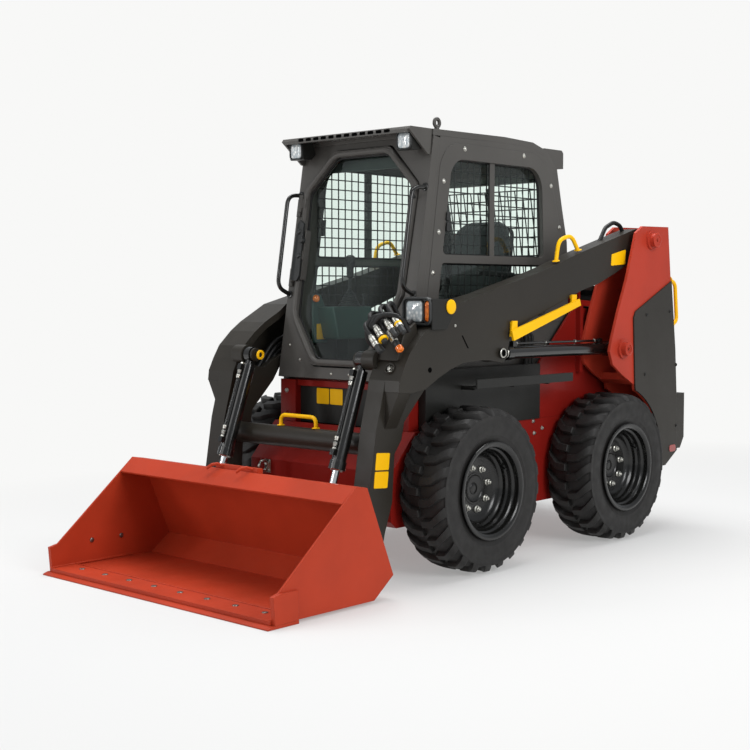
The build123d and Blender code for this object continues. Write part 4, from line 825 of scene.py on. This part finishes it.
ring = Shape()
ring.tube(bent(door_line(14.5, 6), 46, 8, closed=True), 15, 20, True)
for x, z in ((-396, 1374), (-396, 1724)):
    ring.turn(front(x, z + 22, 13), (0, FRONT_LEAN, 1), [
        (-44, 12.5), (-40, 13.5), (40, 13.5), (44, 12.5)], 24)
ring.done("door_ring", CAB_PAINT, "door")
bead = Shape()
bead.tube(bent(door_line(32, -12), 34, 8, closed=True), 6, 10, True)
bead.done("door_bead", SEAL_RUBBER, "door", "black_panel")
catch = Shape()
catch.tube(bent([front(362, 1745, 12), front(366, 1752, 48), front(386, 1770, 66),
                 front(397, 1772, 70)], 14, 6), 4.5, 12)
catch.turn(front(362, 1745, 10), FRONT_OUT, [(0, 9), (12, 9), (14, 6)], 20)
for x, z in ((-366, 1600), (-352, 1480), (-340, 1556)):
    catch.turn(front(x, z, 20), FRONT_OUT, [(0, 15), (16, 15), (22, 12), (24, 5)], 24)
catch.plate([front(-392, 1360, 21), front(-350, 1352, 21), front(-332, 1380, 21),
             front(-340, 1640, 21), front(-366, 1660, 21), front(-384, 1640, 21)], FRONT_OUT * 0.012)
catch.done("door_catch_and_wiper_motor", CONSOLE_DARK, "door", "black_panel", bevel=2.5)
print("door outline corners", len(DOOR))

# %% [markdown]
# A work lamp is a black bowl with a clear cover of rounded square shape. Its cover bulges a little,
# and the pressed facets of the reflector behind it are painted into its colour as light and dim
# cells, a painted reflection. The same maker of rounded squares gives the bezel, the cover and the
# road lamp's amber corner.

# %% Work lamps and road lamp


def rounded(middle, width, height, corner, out, steps=6):
    """Points round an upright rounded rectangle that faces forward, sizes in millimetres."""
    points = []
    for quarter, (sx, sy) in enumerate(((1, 1), (-1, 1), (-1, -1), (1, -1))):
        for k in range(steps + 1):
            angle = math.radians(90 * (quarter + k / steps))
            x = sx * (width / 2 - corner) + corner * math.cos(angle)
            y = sy * (height / 2 - corner) + corner * math.sin(angle)
            points.append(middle + Vector((x, -out, y)) / 1000)
    return points


def lamp_cover(name, middle, width, height, body, material=LENS):
    """A bulged clear cover in a black bezel."""
    cover = Shape()
    cover.skin([rounded(middle, width - 2 * i, height - 2 * i, c, o) for i, c, o in (
        (0, 16, -3), (0, 16, 2), (2, 15, 5), (8, 13, 7.5), (18, 9, 9))])
    cover.done(name, material, body, "lamp_lens", angle=50)
    bezel = Shape()
    bezel.skin([rounded(middle, width + w, height + w, c, o) for w, c, o in (
        (2, 17, -6), (14, 22, -6), (14, 22, 5), (10, 20, 8), (4, 18, 8), (2, 17, 4))], closed=True)
    bezel.done(f"{name}_bezel", CONSOLE_DARK, body, "black_panel", angle=50)


for hand, side in ((1, "left"), (-1, "right")):
    lamp_cover(f"work_lamp_{side}", at(hand * (CAB_SIDE - 71), -185, 2004), 76, 72, "chassis")
surround = Shape()
middle = at(569, -331, 1217)
surround.skin([rounded(middle, 150 + w, 106 + w, c, o) for w, c, o in (
    (0, 22, -6), (22, 32, -8), (22, 32, 8), (16, 30, 13), (4, 24, 13), (0, 22, 8))], closed=True)
surround.done("road_lamp_surround", CONSOLE_DARK, "arms", "black_panel", angle=50)
lamp_cover("road_lamp", at(553, -331, 1216), 96, 94, "arms")
lamp_cover("road_lamp_amber", at(630, -331, 1216), 32, 92, "arms", AMBER)
marker = Shape()
marker.turn(at(658, -205, 1236), ACROSS, [(0, 33), (4, 33), (7, 29), (8, 10)], 32)
marker.done("side_marker", YELLOW, "arms", "yellow_paint")
print("lamps", 4)

# %% [markdown]
# A seat is foam under cloth, so its faces are crowned and its sides pull in between the corners.
# Blender's cloth solver finds that form for us: the block is remeshed into small squares, blown
# up gently like a pad, and held so that no point moves more than 26 mm. The underside stays flat,
# because it rests on the base. Last come the two sewn channels.

# %% Seat
PAD_VOXEL = 0.006
PAD_LIMIT = 0.026
PAD_FRAMES = 20
PAD_PRESSURE = 4.0
CHANNEL_WIDTH = 0.007


def frozen(piece):
    """The piece's mesh as its modifiers leave it, with the modifiers gone."""
    mesh = bpy.data.meshes.new_from_object(
        piece.evaluated_get(bpy.context.evaluated_depsgraph_get()))
    piece.modifiers.clear()
    piece.data = mesh
    return mesh


def pad(name, outline, push, keep_above, channels):
    """A padded cushion from a plate, pushed out by cloth pressure, with sewn channels."""
    block = Shape()
    block.plate(outline, push)
    piece = block.done(name, CLOTH, "chassis", "seat_cloth", angle=80)
    grid = piece.modifiers.new("squares", "REMESH")
    grid.mode = "VOXEL"
    grid.voxel_size = PAD_VOXEL
    squares = frozen(piece)
    before = [vertex.co.copy() for vertex in squares.vertices]
    blow = piece.modifiers.new("foam", "CLOTH")
    blow.settings.use_pressure = True
    blow.settings.uniform_pressure_force = PAD_PRESSURE
    blow.settings.effector_weights.gravity = 0.0
    for step in range(1, PAD_FRAMES + 1):
        bpy.context.scene.frame_set(step)
    puffed = piece.evaluated_get(bpy.context.evaluated_depsgraph_get()).to_mesh()
    after = [vertex.co.copy() for vertex in puffed.vertices]
    piece.modifiers.clear()
    bpy.context.scene.frame_set(1)
    for vertex, old, new in zip(squares.vertices, before, after):
        move = new - old
        if move.length > PAD_LIMIT:
            move.length = PAD_LIMIT
        spot = old + move
        for x in channels:
            near = math.exp(-((spot.x - x) / CHANNEL_WIDTH) ** 2)
            spot.z -= near * 0.004 if keep_above is not None else 0.0
            spot.y += near * 0.006 if keep_above is None else 0.0
        if keep_above is not None:
            spot.z = max(spot.z, keep_above)
        vertex.co = spot
    fine = piece.modifiers.new("fine", "SUBSURF")
    fine.levels = 1
    fine.render_levels = 1
    frozen(piece).shade_smooth()


def square(half, near, far, z):
    """Four corners of a level rectangle, even about the machine's middle."""
    return [at(-half, near, z), at(half, near, z), at(half, far, z), at(-half, far, z)]


BACK_LINE = [(-190, 780, 1250), (190, 780, 1250), (200, 820, 1590), (130, 850, 1680),
             (-130, 850, 1680), (-200, 820, 1590)]
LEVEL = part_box("seat")[0][2] * 1000 + 250
pad("seat_cushion", bent(square(205, 405, 800, LEVEL + 12), 45, 6, closed=True), UP * 0.062,
    (LEVEL + 12) / 1000 - 0.004, (-0.1, 0.1))
pad("seat_back", bent([at(*spot) for spot in BACK_LINE], [30, 30, 70, 60, 60, 70], 6, closed=True),
    Vector((0, 0.07, 0.012)), None, (-0.09, 0.09))
base = Shape()
for half, near, far, z, thick in [(205, 430, 820, 886, 0.15), (222, 395, 838, LEVEL - 12, 0.02)] + [
        (190, 445, 810, 1045 + 18 * fold, 0.01) for fold in range(4)]:
    base.plate(square(half, near, far, z), UP * thick)
for x in (-236, 236):
    base.tube(bent([at(x, 846, 1200), at(x, 860, 1390), at(x, 520, 1402)], 60, 8), 15, 14)
base.tube(bent([at(-150, 872, 1140), at(-150, 884, 1250), at(-150, 930, 1640), at(150, 930, 1640),
                at(150, 884, 1250), at(150, 872, 1140)], 40, 6), 11, 12)
base.done("seat_base", CONSOLE_DARK, "chassis", "console_plastic", ["seat"], bevel=6)
print("seat level", round(LEVEL), "mm, simulated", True)

# %% [markdown]
# The two consoles are moulded boxes with broad round edges. Each carries a lever in a bellows of
# five folds. A bellows is one turned profile that steps in and out while it narrows, which is
# also how the rubber part is moulded.

# %% Consoles, levers and headliner
FOLDS = 5
boxes = Shape()
feet = Shape()
levers = Shape()
for hand in (1, -1):
    boxes.plate([at(hand * x, y, z) for x, y, z in (
        (252, 8, 1062), (378, 8, 1062), (378, -34, 1228), (252, -34, 1228))], BACK * 0.285)
    feet.plate([at(hand * x, 262, z) for x, z in (
        (300, 1090), (378, 1090), (378, 1200), (300, 1200))], BACK * 0.15)
    feet.plate([at(hand * x, y, 884) for x, y in (
        (285, 110), (375, 110), (375, 415), (285, 415))], UP * 0.19)
    foot = at(hand * 315, 150, 1228)
    folds = [(0, 58), (8, 58)]
    for k in range(FOLDS):
        radius = 52 - k * 6.5
        folds += [(10 + k * 13, radius), (17 + k * 13, radius), (20 + k * 13, radius - 7)]
    for profile, steps in (
        (folds + [(84, 13), (88, 10)], 28), ([(80, 8), (150, 8)], 14),
        ([(146, 10), (152, 16), (170, 19), (196, 18), (214, 24), (240, 27), (258, 24), (266, 12)], 24),
    ):
        levers.turn(foot, (0, 0.03, 1), profile, steps)
    for spot, tilt in ((at(hand * 276, 215, 1226), 0.1), (at(hand * 350, 228, 1226), -0.1)):
        levers.turn(spot, (tilt, 0, 1), [
            (0, 13), (6, 13), (8, 6), (40, 5), (42, 11), (62, 12), (68, 6)], 18)
boxes.plate([at(-380, y, z) for y, z in (
    (-66, 1040), (44, 1040), (44, 1190), (-4, 1290), (-66, 1290))], ACROSS * 0.012)
boxes.done("console_boxes", CONSOLE, "chassis", "console_plastic", ["consoles"], bevel=17)
feet.done("console_feet", CONSOLE_DARK, "chassis", "console_plastic", bevel=6)
levers.done("console_levers", CONSOLE_DARK, "chassis", "black_panel", angle=28)
knob = Shape()
knob.turn(at(-366, -52, 1266), (1, -0.5, 0.2), [(0, 10), (6, 10), (9, 18), (24, 19), (30, 12)], 24)
knob.done("orange_knob", AMBER, "chassis", "yellow_paint")
lining = Shape()
lining.plate(bent(square(384, 0, 826, 1968), 50, 6, closed=True), UP * 0.012)
for x in (-230, 40):
    lining.turn(at(x, 105, 1969), -UP, [
        (0, 46), (9, 46), (13, 40), (13, 30), (4, 27), (4, 5)], 28)
lining.plate([at(-384, -20, 1900), at(384, -20, 1900), at(384, 22, 1968), at(-384, 22, 1968)],
             BACK * 0.012)
lining.done("headliner", HEADLINER, "chassis", "black_panel", bevel=5)
print("bellows folds", FOLDS)

# %% [markdown]
# Beside the lamp sits a cluster of quick couplings for attachments with their own motor. Each is
# a turned zinc body with a hexagon, a sleeve and a coloured dust ring, on a hose that loops back
# into the arm. One list says where each starts and which rings it wears.

# %% Couplings and hoses
LIE = Vector((0.72, -0.16, -0.66)).normalized()
COUPLINGS = [
    (at(500, -556, 1100), "plain"), (at(512, -540, 1142), "ring"),
    (at(556, -520, 1172), "plain"), (at(586, -502, 1186), "band"), (at(560, -505, 1120), "cap")]
bodies = Shape()
sleeves = Shape()
colours = Shape()
cap = Shape()
loops = Shape()
for i, (start, kind) in enumerate(COUPLINGS):
    bodies.turn(start, LIE, [(-16, 10), (-14, 14), (-2, 14), (0, 10)], 6)
    bodies.turn(start, LIE, [
        (-1, 12), (0, 16), (26, 16), (27, 13), (31, 13), (32, 17), (50, 17), (52, 13)], 24)
    sleeves.turn(start, LIE, [(50, 13), (52, 14.5), (86, 14.5), (90, 10)], 20)
    if kind == "ring":
        colours.turn(start, LIE, [(62, 15), (63, 22), (74, 22), (75, 15)], 28)
    if kind == "band":
        colours.turn(start, LIE, [(26, 15), (27, 17.5), (38, 17.5), (39, 15)], 28)
    if kind == "cap":
        cap.turn(start, LIE, [(84, 12), (86, 17), (104, 17), (108, 12)], 24)
    back = start - LIE * 0.08
    loops.tube(bent([start - LIE * 0.012, back, back + Vector((-0.02, 0.05, 0.02)),
                     back + Vector((-0.01, 0.10, -0.06)), at(492 + i * 20, -442, 1080)],
                    [0, 24, 26, 30, 0], 7), 11, 14)
for i in range(3):
    loops.tube(bent([at(486 + i * 8, -470, 1035), at(436 + i * 12, -530, 1090 + i * 14),
                     at(470 + i * 30, -540, 1196 + i * 6), at(560 + i * 26, -500, 1200),
                     at(596 + i * 8, -440, 1130)], [0, 40, 50, 36, 0], 9), 11, 14)
bracket = Shape()
bracket.plate([at(478, y, z) for y, z in (
    (-500, 1000), (-440, 1010), (-360, 1120), (-372, 1168), (-452, 1120))], ACROSS * 0.118)
eye_out = Vector((0, -0.89, 0.45))
bracket.turn(at(560, -504, 964), eye_out, [
    (0, 27), (9, 27), (11, 24), (11, 19), (3, 17)], 32, closed=True)
bracket.done("coupling_bracket", ARM_PAINT, "arms", "charcoal_paint", ["aux_couplers"], bevel=4)
bodies.bolt(at(560, -504, 964), eye_out, 20, 12)
bodies.done("coupling_bodies", ZINC, "arms", "steel_zinc", angle=40)
sleeves.done("coupling_sleeves", CONSOLE_DARK, "arms", "black_panel")
colours.done("coupling_dust_rings", YELLOW, "arms", "yellow_paint")
cap.done("coupling_cap", AMBER, "arms", "yellow_paint")
loops.done("coupling_hoses", HOSE_RUBBER, "arms", "tyre_rubber")
print("couplings", len(COUPLINGS))

# %% [markdown]
# Wherever a rubber hose meets a pipe there is a zinc sleeve and a hexagon nut. These bright beads
# on black are what the eye picks out on the tilt cylinders. They ride with their barrel, and so
# they are made once for each side.

# %% Fittings on cylinders
TILT_DOWN = Vector((0, -0.342, -0.940))
TILT_FRONT = Vector((0, -0.940, 0.342))
TILT_X = 376
LIFT_X = 595
ARM_FACE = 639
PIN_RING = [(0, 24), (3, 24), (4.5, 22), (4.5, 17), (0, 17)]


def gland_ring(radius):
    """The bright lip of a barrel's end, round its rod."""
    return [(-3, radius), (0, radius), (4, radius - 3), (4, radius - 8), (-3, radius - 8)]


for hand, side in ((1, "left"), (-1, "right")):
    fittings = Shape()
    pipe = at(hand * TILT_X, -480, 998) + TILT_FRONT * 0.046
    for along in (92, 116, 372, 398):
        fittings.turn(pipe + TILT_DOWN * (along / 1000), TILT_DOWN, [
            (0, 9), (1, 11), (9, 11), (10, 9.5), (18, 9.5), (19, 8)], 6 if along in (92, 398) else 20)
    for along, inward in ((0.06, 0.026), (0.448, -0.026)):
        elbow = pipe + TILT_DOWN * along
        fittings.tube(bent([pipe + TILT_DOWN * (along + inward), elbow, elbow - TILT_FRONT * 0.02],
                           10, 5), 9.5, 14)
    gland = at(hand * TILT_X, -480, 998) + TILT_DOWN * 0.514
    fittings.turn(gland, TILT_DOWN, gland_ring(30), 32, closed=True)
    fittings.done(f"tilt_fittings_{side}", ZINC, f"tilt_barrel_{side}", "steel_zinc")
    lift = Shape()
    start = at(hand * LIFT_X, 1177, 1004)
    ahead = (at(hand * LIFT_X, 206, 1011) - start).normalized()
    for along in (120, 300, 560, 800):
        spot = start + ahead * (along / 1000) + Vector((0, 0, 0.044))
        lift.turn(spot, ahead, [(0, 8), (1, 10), (9, 10), (10, 8)], 6)
    lift.turn(start + ahead * 0.9, ahead, gland_ring(29), 32, closed=True)
    lift.done(f"lift_fittings_{side}", ZINC, f"lift_barrel_{side}", "steel_zinc")
rings = Shape()
for hand in (1, -1):
    rings.turn(at(hand * 652, 193, 1014), (hand, 0, 0), PIN_RING, 32, closed=True)
    rings.bolt(at(hand * ARM_FACE, -150, 1150), (hand, 0, 0), 10, 4)
rings.done("arm_pin_rings", ZINC, "arms", "steel_zinc")
# Near-black discs in the pin's recess and the arm's hole, and a thin slot mark beside them: painted shade
# where the real steel is hollow.
hole_shades = Shape()
for hand in (1, -1):
    for x, y, z, radius in ((651.5, 193, 1014, 15.5), (ARM_FACE + 0.5, -327, 955, 12)):
        hole_shades.turn(at(hand * x, y, z), (hand, 0, 0), [(0, radius), (1, radius), (1.5, radius - 2)], 24)
    hole_shades.plate(bent([at(hand * (ARM_FACE + 0.4), y, z) for y, z in (
        (-104, 1104), (-96, 1104), (-52, 1044), (-60, 1044))], 3, 3, closed=True),
        hand * ACROSS * 0.0008)
far_cap = Shape()
far_cap.turn(at(-(TILT_X - 62), -480, 998), ACROSS, [
    (0, 23), (6, 23), (8, 20), (8, 13), (0, 13)], 28, closed=True)
far_cap.done("pin_dust_ring", YELLOW, "arms", "yellow_paint")
hole_shades.done("arm_hole_shades", PAINTED_HOLE_SHADE, "arms", "black_panel")
for hand, side in ((1, "left"), (-1, "right")):
    boss = Shape()
    for y, z, big in ((1448, 1580, 40), (1177, 1004, 36)):
        boss.turn(at(hand * 728, y, z), (hand, 0, 0), [
            (0, big), (2.6, big), (4.4, big - 3), (4.4, big - 13), (1, big - 15),
            (0, big - 15)], 36, closed=True)
        boss.bolt(at(hand * 728, y, z), (hand, 0, 0), 16, 3)
    boss.done(f"tower_bosses_{side}", TOWER_RED, "chassis", "bucket_red")
print("fitted", 2, "tilt and", 2, "lift cylinders")

# %% [markdown]
# Signs on a machine are thin plates of sheet with rounded corners. Ours stay blank, because words
# and symbols belong to whoever uses the model. A plate is only a millimetre thick, but its edge
# still catches light, so it is real geometry.

# %% Blank plates and reflectors


SHEET = 0.0012
REFLECTOR = painted("reflector_red", "#8e1d16", rough=0.12, dust=0.0, coat=1.0)


def sign(shape, corners, push, corner=7, steps=4):
    """A thin plate with rounded corners."""
    shape.plate(bent(corners, corner, steps, closed=True), push)


arm_signs = Shape()
for x, outline in (
    (552.4, [(-586, 598), (-498, 591), (-506, 516), (-595, 522)]),
    (552.4, [(-596, 516), (-507, 510), (-515, 436), (-604, 443)]),
    (ARM_FACE + 0.4, [(1140, 1500), (1276, 1528), (1272, 1450), (1136, 1440)]),
):
    sign(arm_signs, [at(x, y, z) for y, z in outline], ACROSS * SHEET)
arm_signs.done("arm_signs", YELLOW, "arms", "yellow_paint")
body_signs = Shape()
for left, right in ((-208, -122), (-116, -29)):
    sign(body_signs, [at(x, -196.4, z) for x, z in (
        (left, 828), (right, 828), (right, 750), (left, 750))], -BACK * SHEET)
sign(body_signs, [at(-367, y, z) for y, z in ((-40, 1140), (26, 1140), (26, 1060), (-40, 1060))],
     ACROSS * 0.002)
body_signs.done("body_signs", YELLOW, "chassis", "yellow_paint")
marks = Shape()
sign(marks, [at(698.4, y, z) for y, z in ((1650, 418), (1716, 418), (1716, 456), (1650, 456))],
     ACROSS * 0.003, 16, 6)
# Near-black strips on the visor's front stand in for the shade inside its slots: painted shade.
slot_shades = Shape()
for k in range(12):
    x = -286 + k * 52
    sign(slot_shades, [at(x + side, -225.4, z) for side, z in (
        (-18, 2043), (18, 2043), (18, 2058), (-18, 2058))], -BACK * 0.0008, 6)
slot_shades.done("visor_slot_shades", PAINTED_HOLE_SHADE, "chassis", "black_panel")
marks.done("red_reflector", REFLECTOR, "chassis", "bucket_red")
print("blank plates", 6)

# %% [markdown]
# Bolts finish the machine: round the black rear panels, along the side cases, on the front posts
# and through the bucket's cutting edge. A plough bolt has a flat square-necked head that sits
# almost flush, so it is drawn low and wide. The weld beads along the bucket's back are wavy rods.

# %% Bolts, screws and weld beads
red_bolts = Shape()
zinc_bolts = Shape()
for hand in (1, -1):
    for y, z in ((688, 643), (767, 602), (697, 581), (250, 560), (330, 640)):
        zinc_bolts.bolt(at(hand * 470, y, z), (hand, 0, 0), 15, 8)
    zinc_bolts.bolt(at(hand * 386, -232, 810), (0, -1, 0), 16, 9)
    red_bolts.bolt(at(hand * 386, -232, 700), (0, -1, 0), 14, 5)
    for x, z in ((372, 1037), (288, 965), (-60, 905)):
        zinc_bolts.bolt(front(hand * x, z, 0.2), FRONT_OUT, 9, 4)
zinc_bolts.done("body_bolts", ZINC, "chassis", "steel_zinc", angle=30)
red_bolts.done("post_bolts", SHADED_CHASSIS_RED, "chassis", "chassis_red", angle=30)
panel_bolts = Shape()
for hand in (1, -1):
    for y, z in ((1400, 1180), (1640, 1195), (1712, 900), (1722, 560), (1500, 560), (1390, 860)):
        panel_bolts.bolt(at(hand * 698.3, y, z), (hand, 0, 0), 13, 4)
panel_bolts.done("side_panel_bolts", PANEL_BLACK, "chassis", "black_panel", angle=30)
bucket_bolts = Shape()
for k in range(8):
    bucket_bolts.turn(at(-620 + k * 177, -1312, 30.3), UP, [
        (0, 14), (2.4, 13), (3.4, 9), (3.6, 1)], 20)
for hand in (1, -1):
    for y in (-1170, -1000):
        bucket_bolts.turn(at(hand * 742, y, 130), (-hand, 0, 0), [(0, 12), (3, 11), (4.6, 7), (5, 1)], 20)
bucket_bolts.done("bucket_bolts", STEEL, "bucket", "steel_zinc")
random.seed(12)
welds = Shape()
for hand in (1, -1):
    bead_line = []
    for k in range(60):
        t = k / 59
        bead_line.append(at(hand * (741 + random.uniform(-0.6, 0.6)), -1400 + 470 * t,
                            32 + random.uniform(-0.8, 0.8)))
    welds.tube(bead_line, 4.5, 8)
lip_line = [at(-735 + 1470 * k / 90, -1262 + random.uniform(-0.8, 0.8), 31 + random.uniform(-0.5, 0.5))
            for k in range(91)]
welds.tube(lip_line, 4, 8)
welds.done("bucket_welds", BUCKET_RED, "bucket", "bucket_red")
print("bolts on body, panels and bucket")
